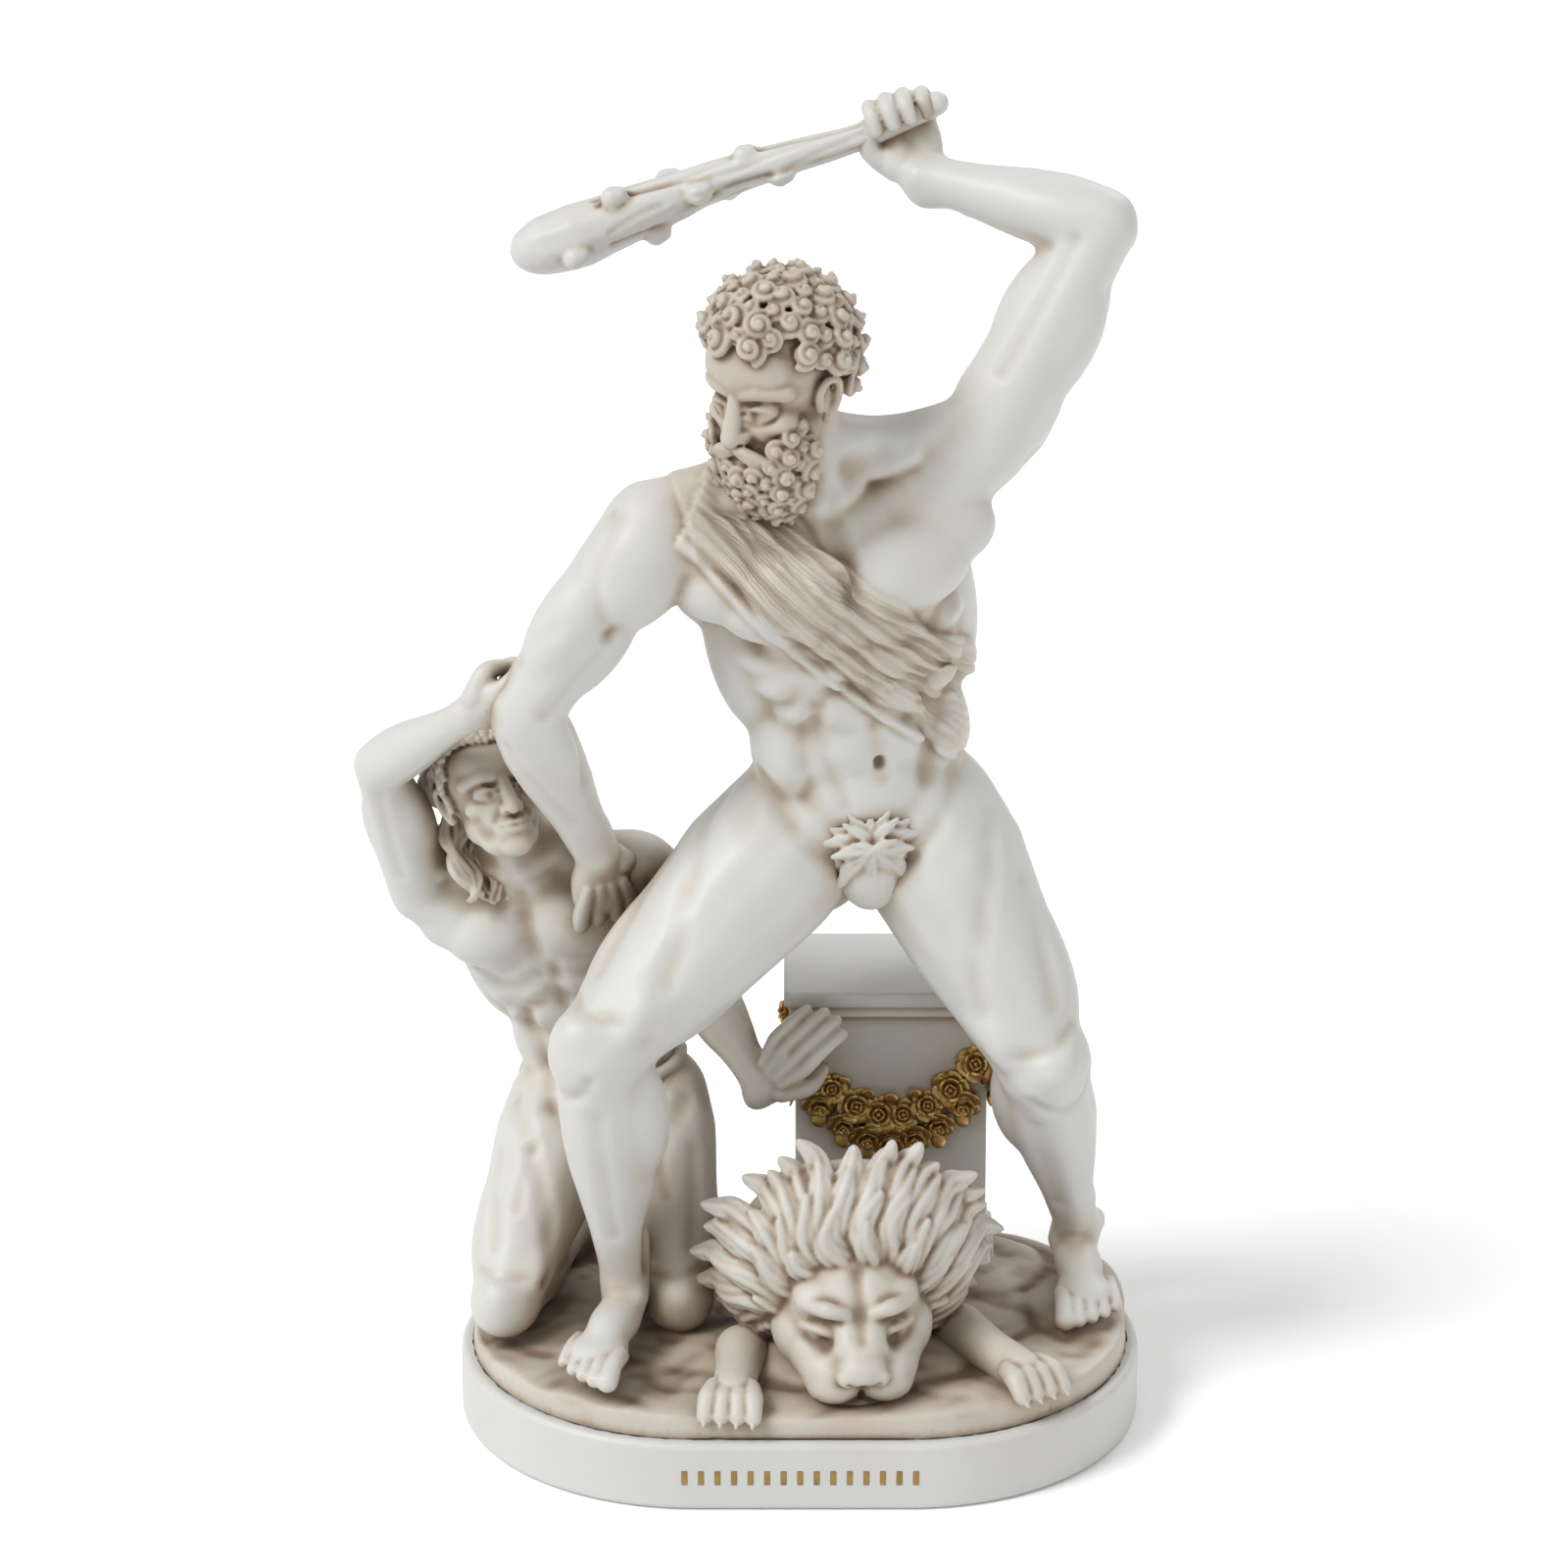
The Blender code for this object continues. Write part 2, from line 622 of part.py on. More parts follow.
def swept_lock(frame, scale, turn, wave, lift):
    """Points of a lock that is combed back from the brow and hangs behind the neck."""
    brow = Vector((math.sin(turn), 0.62 - 0.30 * abs(math.sin(turn)), math.cos(turn))).normalized()
    nape = Vector((0.55 * math.sin(turn), -0.84, -0.46)).normalized()
    points = []
    for step in range(5):
        share = step / 4
        heading = brow.lerp(nape, share) + Vector((0, -0.35, 0.25)) * math.sin(share * math.pi)
        heading = heading.normalized() + Vector((wave, 0, 0)) * math.sin(share * 6.0)
        points.append(scalp(frame, scale, heading, lift))
    end = points[-1]
    fall = LOCK_FALL * scale
    points.append(end - frame.up * fall + frame.left * wave * 18)
    points.append(end - frame.up * fall * 1.9 + frame.front * 1.5 - frame.left * wave * 12)
    return points


def foe_head(clay, figure):
    """Clean-shaven head with long hair combed back and falling behind."""
    scale = size_of(figure)
    frame = head_frame(figure)
    clay.masses(frame, HEAD_MASSES, scale)
    nose = [frame.point(left * scale, front * scale, up * scale) for left, front, up, _ in NOSE_LINE]
    clay.rope(nose, [radius * scale for *_, radius in NOSE_LINE])
    for index in range(SWEPT_LOCKS):
        turn = lerp(-SWEPT_FAN, SWEPT_FAN, index / (SWEPT_LOCKS - 1))
        points = swept_lock(frame, scale, turn, 0.07 * math.sin(index * 2.3), 0.4)
        clay.rope(points, [radius * scale for radius in SWEPT_RADII])


def oval_outline(length, depth, corners):
    """A lengthened circle: straight sides closed by half rounds."""
    radius = depth / 2
    shift = length / 2 - radius
    points = []
    for index in range(corners):
        angle = 2 * math.pi * (index + 0.5) / corners
        side = shift if math.cos(angle) > 0 else -shift
        points.append((side + radius * math.cos(angle), radius * math.sin(angle)))
    return points


def ground(clay):
    """The rocky ground, its rim set in from the plinth's edge by GROUND_INSET."""
    length = (PLINTH_LENGTH - 2 * GROUND_INSET) / STEP
    depth = (PLINTH_DEPTH - 2 * GROUND_INSET) / STEP
    thickness = GROUND_THICKNESS / STEP
    outline = oval_outline(length, depth, RIM_CORNERS)
    count = len(outline)
    low = [(x, y, -4.0) for x, y in outline]
    high = [(x * 0.985, y * 0.98, thickness) for x, y in outline]
    caps = [list(range(count - 1, -1, -1)), list(range(count, 2 * count))]
    sides = [[i, (i + 1) % count, (i + 1) % count + count, i + count] for i in range(count)]
    clay.add(np.array(low + high), caps + sides)
    upright = ((1, 0, 0), (0, 1, 0), (0, 0, 1))
    for x, y, z, *radii in ROCKS:
        clay.ball((x, y, z), radii, upright)


def altar(clay):
    """A square altar with mouldings at its foot and top."""
    half_width = ALTAR_WIDTH / STEP / 2
    half_depth = ALTAR_DEPTH / STEP / 2
    height = ALTAR_HEIGHT / STEP
    x, y = ALTAR_CENTRE_X / STEP, ALTAR_CENTRE_Y / STEP
    for grow, low_share, low_steps, high_share, high_steps in ALTAR_COURSES:
        low = height * low_share + low_steps
        high = height * high_share + high_steps
        clay.slab(
            (x - half_width - grow, y - half_depth - grow, low),
            (x + half_width + grow, y + half_depth + grow, high),
        )


def garland_line():
    """Points along the swag of roses round the altar's front and sides."""
    half_width = ALTAR_WIDTH / STEP / 2
    half_depth = ALTAR_DEPTH / STEP / 2
    x, y = ALTAR_CENTRE_X / STEP, ALTAR_CENTRE_Y / STEP
    top = ALTAR_HEIGHT / STEP * GARLAND_LEVEL
    drop = GARLAND_DROP / STEP
    corners = [
        Vector((x - half_width, y + half_depth, top)),
        Vector((x - half_width, y - half_depth, top)),
        Vector((x + half_width, y - half_depth, top)),
        Vector((x + half_width, y + half_depth, top)),
    ]
    points = []
    for start, end in zip(corners, corners[1:]):
        on_side = abs(end.x - start.x) < 1
        roses = SIDE_ROSES if on_side else FRONT_ROSES
        for index in range(roses):
            share = index / roses
            sag = drop * 4 * share * (1 - share) * (0.5 if on_side else 1.0)
            points.append(lerp(start, end, share) - Vector((0, 0, sag)))
    points.append(corners[-1])
    return points


def garland(clay):
    """A swag of roses, each a round lump."""
    radius = GARLAND_THICKNESS / STEP / 2
    for point in garland_line():
        clay.knob(point, radius)


def club(clay):
    """A knotty club that grows from the grip to its head."""
    grip, end = Vector(CLUB_GRIP), Vector(CLUB_END)
    shares = [share for share, _ in CLUB_LINE]
    radii = [radius for _, radius in CLUB_LINE]
    clay.rope([lerp(grip, end, share) for share in shares], radii)
    axis = (end - grip).normalized()
    across = axis.orthogonal()
    for index in range(KNOT_COUNT):
        share = lerp(*KNOT_SPAN, index / (KNOT_COUNT - 1))
        turned = Matrix.Rotation(index * 2.4, 3, axis) @ across
        radius = float(np.interp(share, shares, radii))
        clay.knob(lerp(grip, end, share) + turned * (radius - 1.0), KNOT_RADIUS)


def mane_point(face, angle, reach, lift):
    """A point lift above the mane's dome; reach is 0 at its middle and 1 at its rim."""
    left, front, up, wide, deep, tall = MANE_DOME
    bulge = math.sqrt(1 - reach * reach) if reach < 1 else 1 - reach
    place = face.point(
        (left + (wide + lift) * reach * math.cos(angle)) * LION_SCALE,
        (front + (deep + lift) * bulge) * LION_SCALE,
        (up + (tall + lift) * reach * math.sin(angle)) * LION_SCALE,
    )
    place.z = max(place.z, 4.0)
    return place


def pelt(clay):
    """The slain lion's skin: head in front, mane round it, paws to both sides."""
    left = Vector((1, 0.12, 0)).normalized()
    front = Vector((0.10, -0.90, -0.34)).normalized()
    face = Frame(LION_PLACE, left, front, left.cross(front) * -1)
    clay.masses(face, LION_MASSES + (MANE_DOME,), LION_SCALE)
    for row, (root_reach, tip_reach) in enumerate(MANE_ROWS):
        for index in range(MANE_LOCKS):
            angle = lerp(-0.45, math.pi + 0.45, (index + 0.5 * (row % 2)) / MANE_LOCKS)
            points = []
            for step in range(4):
                share = step / 3
                swing = 0.10 * math.sin(index * 1.9 + row + share * 3.5)
                reach = lerp(root_reach, tip_reach, share)
                points.append(mane_point(face, angle + swing, reach, 0.8))
            radii = [MANE_THICKNESS * share for share in (0.9, 1.0, 0.85, 0.45)]
            clay.rope(points, radii)
    for root, tip in PAWS:
        paw(clay, Vector(root), Vector(tip))


def paw(clay, root, tip):
    """A flat limp paw with four clawed toes."""
    clay.rope([root, lerp(root, tip, 0.5), tip], [7.0, 5.6, 5.6])
    along = (tip - root).normalized()
    across = along.cross(Vector((0, 0, 1)))
    for toe in range(4):
        shift = across * (toe - 1.5) * 3.3
        clay.rope([tip + shift, tip + along * 5.5 + shift * 1.15], [2.6, 2.1])


def drape(clay, figure, chest):
    """Folds of thin cloth from the right shoulder over the chest to the left hip."""
    scale = size_of(figure)
    for index in range(CHEST_FOLDS):
        share = index / (CHEST_FOLDS - 1)
        points = []
        for low_left, high_left, front, low, high in CHEST_CLOTH:
            left = lerp(low_left, high_left, share)
            points.append(chest.point(left * scale, front * scale, lerp(low, high, share) * scale))
        clay.rope(points, [CHEST_FOLD_RADIUS * scale] * len(points))


def loincloth(clay, figure, round_the_hips):
    """A short fall of cloth in front and, where asked, a twist of cloth round the hips."""
    scale = size_of(figure) * figure["build"]
    pelvis = joint(figure, "pelvis")
    hips = joint(figure, "hip_left") - joint(figure, "hip_right")
    frame = body_frame(pelvis, joint(figure, "waist") - pelvis, hips)
    half_width, reach, radius = HIP_TWIST
    for twist in HIP_TWIST_TURNS if round_the_hips else ():
        points = []
        for index in range(HIP_STEPS + 1):
            angle = 2 * math.pi * index / HIP_STEPS
            rise = 6.0 - 4.0 * math.cos(angle) + twist * math.cos(angle * 3 + twist) + twist
            left = half_width * math.sin(angle)
            front = reach * math.cos(angle) + 0.4
            points.append(frame.point(left * scale, front * scale, rise * scale))
        clay.rope(points, [radius * scale] * len(points))
    for shift in HIP_FALLS:
        points = [
            frame.point(shift * share * scale, front * scale, up * scale)
            for share, front, up, _ in HIP_FALL
        ]
        clay.rope(points, [fold * scale for *_, fold in HIP_FALL])


def modelled_group():
    """All the clay of the group."""
    clay = Clay()
    ground(clay)
    altar(clay)
    garland(clay)
    pelt(clay)
    chest = trunk(clay, HERO)
    trunk(clay, FOE)
    for figure in (HERO, FOE):
        for side_name, side in (("right", 1), ("left", -1)):
            leg(clay, figure, side_name, side)
            arm(clay, figure, side_name, side)
    hero_head(clay, HERO)
    foe_head(clay, FOE)
    for figure, feet in ((HERO, HERO_FEET), (FOE, FOE_FEET)):
        for name, side, scale, drop in feet:
            foot(clay, figure[f"ankle_{name}"], figure[f"toes_{name}"], side, scale, drop)
    for figure, hands, scale in ((HERO, HERO_HANDS, HERO_HAND_SIZE), (FOE, FOE_HANDS, FOE_HAND_SIZE)):
        for name, along, palm, curl, side in hands:
            hand(clay, figure[f"wrist_{name}"], along, palm, scale, curl, side)
    club(clay)
    drape(clay, HERO, chest)
    loincloth(clay, FOE, True)
    loincloth(clay, HERO, False)
    return clay


def material(name, colour, roughness, metallic):
    made = bpy.data.materials.new(name)
    made.use_nodes = True
    shader = made.node_tree.nodes["Principled BSDF"]
    shader.inputs["Base Color"].default_value = (*colour, 1.0)
    shader.inputs["Roughness"].default_value = roughness
    shader.inputs["Metallic"].default_value = metallic
    made.diffuse_color = (*colour, 1.0)
    return made


def add_object(name, mesh, collection):
    made = bpy.data.objects.new(name, mesh)
    collection.objects.link(made)
    return made


def oval_solid(name, length, depth, low, high, collection):
    """An upright prism on an oval outline."""
    shape = bmesh.new()
    loop = [shape.verts.new((x, y, low)) for x, y in oval_outline(length, depth, RIM_CORNERS)]
    base = shape.faces.new(loop)
    raised = bmesh.ops.extrude_face_region(shape, geom=[base])
    for item in raised["geom"]:
        if isinstance(item, bmesh.types.BMVert):
            item.co.z = high
    bmesh.ops.recalc_face_normals(shape, faces=shape.faces)
    mesh = bpy.data.meshes.new(name)
    shape.to_mesh(mesh)
    shape.free()
    return add_object(name, mesh, collection)


def helper(obj):
    obj.hide_render = True
    obj.display_type = "WIRE"


def cut(obj, cutter):
    modifier = obj.modifiers.new("cut", "BOOLEAN")
    modifier.operation = "DIFFERENCE"
    modifier.object = cutter


def make_plinth(parts, cutters):
    """The oval plinth with its row of shallow strokes in front."""
    plinth = oval_solid("plinth", PLINTH_LENGTH, PLINTH_DEPTH, 0, PLINTH_HEIGHT, parts)
    rounding = plinth.modifiers.new("edges", "BEVEL")
    rounding.width = PLINTH_EDGE_ROUND
    rounding.segments = 2
    rounding.limit_method = "ANGLE"
    rounding.angle_limit = math.radians(60)
    shape = bmesh.new()
    for index in range(STROKE_COUNT):
        x = (index - (STROKE_COUNT - 1) / 2) * STROKE_PITCH
        place = Matrix.Translation((x, -PLINTH_DEPTH / 2, PLINTH_HEIGHT / 2))
        size = Matrix.Diagonal((STROKE_WIDTH, 2 * STROKE_DEPTH, STROKE_HEIGHT, 1))
        bmesh.ops.create_cube(shape, size=1.0, matrix=place @ size)
    mesh = bpy.data.meshes.new("stroke_cutters")
    shape.to_mesh(mesh)
    shape.free()
    strokes = add_object("stroke_cutters", mesh, cutters)
    helper(strokes)
    cut(plinth, strokes)
    plinth.data.materials.append(material("plinth_alabaster", (0.84, 0.81, 0.76), 0.38, 0.0))
    return plinth


def make_group(parts, cutters):
    """Ground, altar, pelt and both figures, cast as one piece."""
    clay = modelled_group()
    mesh = bpy.data.meshes.new("figure_group")
    mesh.from_pydata(np.vstack(clay.corners), [], clay.faces)
    mesh.transform(Matrix.Translation((0, 0, PLINTH_HEIGHT)) @ Matrix.Scale(STEP, 4))
    group = add_object("figure_group", mesh, parts)
    fuse = group.modifiers.new("fuse", "REMESH")
    fuse.mode = "VOXEL"
    fuse.voxel_size = CLAY_VOXEL
    soften = group.modifiers.new("soften", "SMOOTH")
    soften.factor = 0.5
    soften.iterations = SMOOTH_PASSES
    graph = bpy.context.evaluated_depsgraph_get()
    faces = len(group.evaluated_get(graph).data.polygons) * 2
    thin = group.modifiers.new("thin", "DECIMATE")
    thin.ratio = min(1.0, GROUP_TRIANGLES / faces)
    low = PLINTH_HEIGHT - PLINTH_LENGTH
    high = PLINTH_HEIGHT + SEAM_GAP
    under = oval_solid("under_cutter", 2 * PLINTH_LENGTH, 2 * PLINTH_DEPTH, low, high, cutters)
    helper(under)
    cut(group, under)
    group.data.materials.append(material("group_alabaster", (0.80, 0.77, 0.71), 0.42, 0.0))
    return group


def main():
    for obj in list(bpy.data.objects):
        bpy.data.objects.remove(obj)
    parts = bpy.data.collections.new("hero_statuette")
    cutters = bpy.data.collections.new("cutters")
    for collection in (parts, cutters):
        bpy.context.scene.collection.children.link(collection)
    make_plinth(parts, cutters)
    make_group(parts, cutters)


main()
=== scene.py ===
"""Dresses the cast statuette: a hero with a club over a kneeling man, on an oval plinth."""
import json
import math

import bmesh
import bpy
import numpy as np
from mathutils import Matrix, Vector
from mathutils.bvhtree import BVHTree
from mathutils.kdtree import KDTree

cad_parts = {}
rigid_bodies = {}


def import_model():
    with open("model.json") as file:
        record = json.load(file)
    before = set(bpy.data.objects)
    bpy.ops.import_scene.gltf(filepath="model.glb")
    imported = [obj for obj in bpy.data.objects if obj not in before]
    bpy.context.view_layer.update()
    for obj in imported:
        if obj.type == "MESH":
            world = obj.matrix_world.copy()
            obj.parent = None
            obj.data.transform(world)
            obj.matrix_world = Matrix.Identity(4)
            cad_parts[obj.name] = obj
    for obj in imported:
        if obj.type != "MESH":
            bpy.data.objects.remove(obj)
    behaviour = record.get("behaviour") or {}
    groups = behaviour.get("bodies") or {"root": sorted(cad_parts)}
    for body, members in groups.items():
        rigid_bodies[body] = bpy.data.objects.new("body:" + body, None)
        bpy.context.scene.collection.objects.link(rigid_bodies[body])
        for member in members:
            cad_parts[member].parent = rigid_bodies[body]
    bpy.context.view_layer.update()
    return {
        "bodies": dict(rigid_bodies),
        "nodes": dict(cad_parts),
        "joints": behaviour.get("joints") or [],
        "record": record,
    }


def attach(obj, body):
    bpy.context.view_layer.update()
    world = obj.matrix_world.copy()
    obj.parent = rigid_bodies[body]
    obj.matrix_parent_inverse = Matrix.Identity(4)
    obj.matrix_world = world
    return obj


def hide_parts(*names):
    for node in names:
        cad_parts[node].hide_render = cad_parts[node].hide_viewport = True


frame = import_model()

# Sizes shared with the solids, in metres
PLINTH_LENGTH = 0.156
PLINTH_DEPTH = 0.108
PLINTH_HEIGHT = 0.0165
PLINTH_EDGE_ROUND = 0.0016
STROKE_COUNT = 15
STROKE_PITCH = 0.0037
STROKE_WIDTH = 0.0014
STROKE_HEIGHT = 0.0036
STROKE_DEPTH = 0.0005
SEAM_GAP = 0.0003
GROUND_INSET = 0.0022
GROUND_THICKNESS = 0.0055
GROUP_HEIGHT = 0.2892
ALTAR_WIDTH = 0.044
ALTAR_DEPTH = 0.030
ALTAR_HEIGHT = 0.079
ALTAR_CENTRE_X = 0.021
ALTAR_CENTRE_Y = 0.030
GARLAND_THICKNESS = 0.0085
GARLAND_DROP = 0.017

# The free forms are drawn on a grid: one step is close to a millimetre, with the
# grid's zero on top of the plinth
GRID_STEPS = 305
STEP = GROUP_HEIGHT / GRID_STEPS
MODEL_STATURE = 275.0
UPRIGHT = (Vector((1, 0, 0)), Vector((0, 1, 0)), Vector((0, 0, 1)))

# Joints of the standing hero, in grid steps above the plinth
HERO = {
    "stature": 300.0,
    "build": 1.13,
    "pelvis": (14, 3, 137),
    "waist": (13, -1, 161),
    "chest": (9, -5, 194),
    "neck": (2, -10, 227),
    "head": (-6, -17, 252),
    "face": (-0.62, -0.75, -0.22),
    "shoulder_right": (-34, -15, 214),
    "elbow_right": (-64, -19, 170),
    "wrist_right": (-48, -3, 129),
    "shoulder_left": (42, 1, 230),
    "elbow_left": (69, 8, 280),
    "wrist_left": (28, 24, 286),
    "hip_right": (0, 1, 134),
    "knee_right": (-48, -29, 89),
    "ankle_right": (-42, -15, 21),
    "toes_right": (-0.30, -0.95),
    "hip_left": (28, 5, 136),
    "knee_left": (58, -9, 77),
    "ankle_left": (68, 21, 19),
    "toes_left": (0.08, -1.0),
}

# Joints of the kneeling man, in the same grid
FOE = {
    "stature": 240.0,
    "build": 1.06,
    "pelvis": (-46, 22, 55),
    "waist": (-51, 22, 76),
    "chest": (-60, 18, 100),
    "neck": (-66, 12, 123),
    "head": (-73, 5, 143),
    "face": (0.30, -0.86, 0.40),
    "shoulder_right": (-90, 17, 111),
    "elbow_right": (-99, 2, 149),
    "wrist_right": (-77, -17, 169),
    "shoulder_left": (-40, 8, 121),
    "elbow_left": (-24, 23, 84),
    "wrist_left": (-9, 7, 63),
    "hip_right": (-57, 20, 53),
    "knee_right": (-71, -14, 16),
    "ankle_right": (-55, 31, 14),
    "toes_right": (0.60, 0.80),
    "hip_left": (-36, 22, 54),
    "knee_left": (-29, -11, 16),
    "ankle_left": (-32, 33, 14),
    "toes_left": (0.35, 0.93),
}

# Limb outlines: (share along the bone, radius)
THIGH_LINE = ((0.0, 15.5), (0.2, 16.5), (0.45, 14.8), (0.7, 12.0), (0.88, 10.0), (1.0, 9.8))
SHIN_LINE = ((0.0, 9.6), (0.12, 8.8), (0.3, 9.0), (0.5, 7.8), (0.7, 6.0), (0.88, 4.9), (1.0, 5.3))
UPPER_ARM_LINE = ((0.0, 9.6), (0.25, 9.4), (0.5, 8.8), (0.75, 7.6), (1.0, 7.0))
FOREARM_LINE = ((0.0, 7.0), (0.2, 7.8), (0.4, 7.2), (0.7, 5.4), (1.0, 4.6))

# Muscles on a bone: (share along, outwards, forwards, radius out, radius front, radius along)
THIGH_MUSCLES = (
    (0.42, 0.5, 6.0, 7.0, 7.8, 26.0),
    (0.55, 7.2, 2.2, 6.6, 8.2, 24.0),
    (0.80, -6.0, 4.0, 5.6, 5.4, 11.0),
    (0.78, 5.6, 3.8, 4.6, 4.8, 12.0),
    (0.22, -7.2, -1.0, 8.0, 9.0, 21.0),
    (0.50, 4.2, -7.0, 5.4, 6.4, 24.0),
    (0.50, -4.2, -7.0, 5.4, 6.4, 24.0),
    (0.02, 2.5, -9.5, 13.0, 11.5, 15.0),
    (1.0, 0.0, 6.6, 5.6, 4.4, 6.4),
)
SHIN_MUSCLES = (
    (0.27, -4.2, -5.0, 6.0, 6.6, 16.0),
    (0.24, 4.2, -4.8, 5.6, 6.2, 14.5),
    (0.48, 0.0, -3.4, 7.2, 5.8, 16.0),
    (0.32, 2.6, 3.8, 4.0, 4.0, 19.0),
    (0.50, -1.4, 3.6, 2.6, 3.0, 28.0),
    (0.86, 0.0, -4.4, 2.3, 2.6, 12.0),
    (1.0, -4.6, 0.4, 2.4, 2.8, 3.2),
    (1.02, 4.6, -0.6, 2.4, 2.8, 3.2),
)
UPPER_ARM_MUSCLES = (
    (0.16, 3.0, 0.0, 9.0, 10.4, 16.0),
    (0.56, 0.0, 4.0, 6.6, 6.0, 15.0),
    (0.50, 1.0, -4.4, 7.0, 6.2, 17.0),
    (1.0, 0.0, -3.4, 4.0, 4.0, 4.4),
)
FOREARM_MUSCLES = (
    (0.16, 3.4, 1.6, 4.6, 5.0, 14.0),
    (0.25, -3.2, 0.0, 4.8, 5.2, 14.0),
    (1.0, 0.0, 0.0, 5.6, 4.0, 4.0),
)

# Masses of the trunk: (leftwards, forwards, upwards, radii in the same order).
# An entry off the middle line is set on both sides.
PELVIS_MASSES = (
    (0, 0, 5, 20.5, 13.5, 14.0),
    (12.5, -1, 8, 8.5, 10.0, 12.0),
    (0, 5, 9, 13.5, 9.0, 14.0),
    (8.0, -9, -1, 9.8, 9.6, 12.0),
)
CHEST_MASSES = (
    (0, 0, -3, 23.5, 15.4, 26.0),
    (0, -1.5, 14, 25.5, 13.0, 14.0),
    (0, 2.5, -20, 14.5, 11.4, 22.0),
    (11.2, 9.8, 8.5, 13.4, 7.0, 10.2),
    (21.0, 6.5, 13, 10.0, 6.6, 8.5),
    (18.5, -3.5, -6, 8.0, 9.8, 23.0),
    (20.5, -6, 9, 10.5, 7.6, 13.0),
    (11.5, -10.5, 9, 11.0, 5.2, 14.0),
    (0, -8.5, 14, 12.5, 6.6, 18.0),
    (17.9, 6.0, -5, 4.2, 5.4, 3.6),
    (16.0, 6.6, -12, 4.0, 5.2, 3.6),
    (13.2, 6.8, -19, 4.0, 5.0, 3.6),
    (5.0, 11.7, -9, 5.4, 3.0, 5.6),
    (5.0, 10.9, -19, 5.4, 3.0, 5.8),
    (4.8, 9.8, -30, 5.2, 3.2, 6.2),
    (5.4, -9.4, -22, 5.6, 5.2, 30.0),
)
WAIST_MASSES = (
    (0, 0, 0, 18.6, 12.6, 19.0),
    (14.8, 1.5, -2, 6.2, 9.0, 12.0),
    (9.0, -5.0, 0, 8.0, 7.0, 20.0),
)
SHOULDER_JOINS = (
    (14, -1, 15, 11.0, 9.6),
    (14, 8, 10, 6.6, 7.2),
    (17, -8, 2, 7.0, 7.0),
    (12, -9, 16, 6.6, 7.2),
)

# Skull and face: (leftwards, forwards, upwards, radii in the same order)
SKULL_MASSES = (
    (0, -2, 3, 13.2, 15.4, 14.4),
    (0, 6.2, 5, 10.6, 7.4, 8.6),
    (0, 6.6, -6, 9.6, 7.2, 10.0),
    (0, 5.4, -14, 8.2, 7.4, 5.6),
    (0, 10.6, -16.8, 4.6, 3.4, 3.2),
    (7.2, 7.8, -5.4, 3.8, 3.8, 3.0),
    (0, 11.4, -11.4, 5.0, 3.0, 4.2),
    (6.4, 1.4, -9.8, 3.4, 7.0, 5.4),
)

# Head of the lion's skin, in the same form and times LION_SCALE
LION_PLACE = (12, -26, 23)
LION_SCALE = 1.35
LION_MASSES = (
    (0, -4, 3, 14.5, 14, 12),
    (0, 3, 3.4, 12.0, 10, 8.8),
    (0, 9, 2.4, 6.8, 10.4, 5.6),
    (4.6, 14.0, -2.8, 6.2, 6.8, 5.6),
    (0, 19.2, 2.0, 4.6, 2.8, 2.8),
    (0, 13.0, -8.5, 6.0, 6.4, 3.8),
    (6.4, 3, -2.5, 8.2, 9.6, 7.6),
    (5.2, 9, -2.6, 6.8, 7.6, 6.0),
    (5.6, 5.4, 7.2, 5.6, 4.2, 3.2),
    (12.4, -6, 11.0, 4.4, 2.8, 5.0),
)
# The mane's dome behind the face: leftwards, forwards, upwards, radii in the same order
MANE_DOME = (0, -9, 3, 21, 12, 20)
PAWS = (((38, -14, 9), (53, -37, 9)), ((-14, -26, 9), (-16, -46, 8)))

# Hair: the scalp's middle and radii, in the head's directions
SCALP_MIDDLE = (0, -2, 3)
SCALP_RADII = (14.0, 16.2, 15.4)

# A hand: lengths of the fingers, of their joints, and places from the wrist
FINGER_LENGTHS = (6.6, 7.2, 6.8, 5.4)
FINGER_JOINTS = (1.0, 0.72, 0.55)
FINGER_PITCH = 3.9
FINGER_RADIUS = 2.1
KNUCKLE_REACH = 14.5

# A foot: (forwards, inwards, height, radii in the same order), and how far toes reach
FOOT_LUMPS = (
    (-6.0, 0.0, 5.0, 6.6, 5.2, 5.4),
    (0.0, 0.0, 8.5, 6.8, 5.6, 6.5),
    (10.0, 0.8, 6.2, 12.0, 6.2, 5.4),
    (21.0, 0.6, 3.8, 8.0, 7.8, 3.8),
)
TOE_REACHES = (32.5, 32.4, 30.8, 28.6, 25.8)
TOE_RADII = (2.7, 2.0, 1.9, 1.8, 1.7)
TOE_PITCH = 3.1

# The club: its ends, and (share along, radius)
CLUB_GRIP = (23, 27.5, 299)
CLUB_END = (-62, 24, 269)
CLUB_LINE = (
    (-0.10, 3.0),
    (0.0, 3.3),
    (0.15, 3.5),
    (0.45, 4.8),
    (0.72, 6.6),
    (0.88, 7.8),
    (0.96, 7.2),
    (1.0, 5.6),
)
KNOT_COUNT = 9
KNOT_SPAN = (0.34, 0.90)
BARK_LINES = 12

# Masses of the ground: (x, y, z, radii in the same order)
ROCKS = (
    (0, 4, 5.8, 58, 40, 3.4),
    (30, 24, 5.8, 34, 22, 6.0),
    (-52, 10, 4, 26, 38, 5.0),
    (66, 12, 4, 14, 28, 4.6),
    (10, -18, 4, 36, 24, 7.0),
)

# Courses of the altar: (how far out, then the share of the height and the steps over it
# for the lower and for the upper face)
ALTAR_COURSES = (
    (0.0, 0, 0, 1, 0),
    (2.6, 0, 0, 0, 10),
    (1.5, 0, 10, 0, 13),
    (1.6, 1, -5, 1, -2),
    (2.8, 1, -2, 1, 2),
)
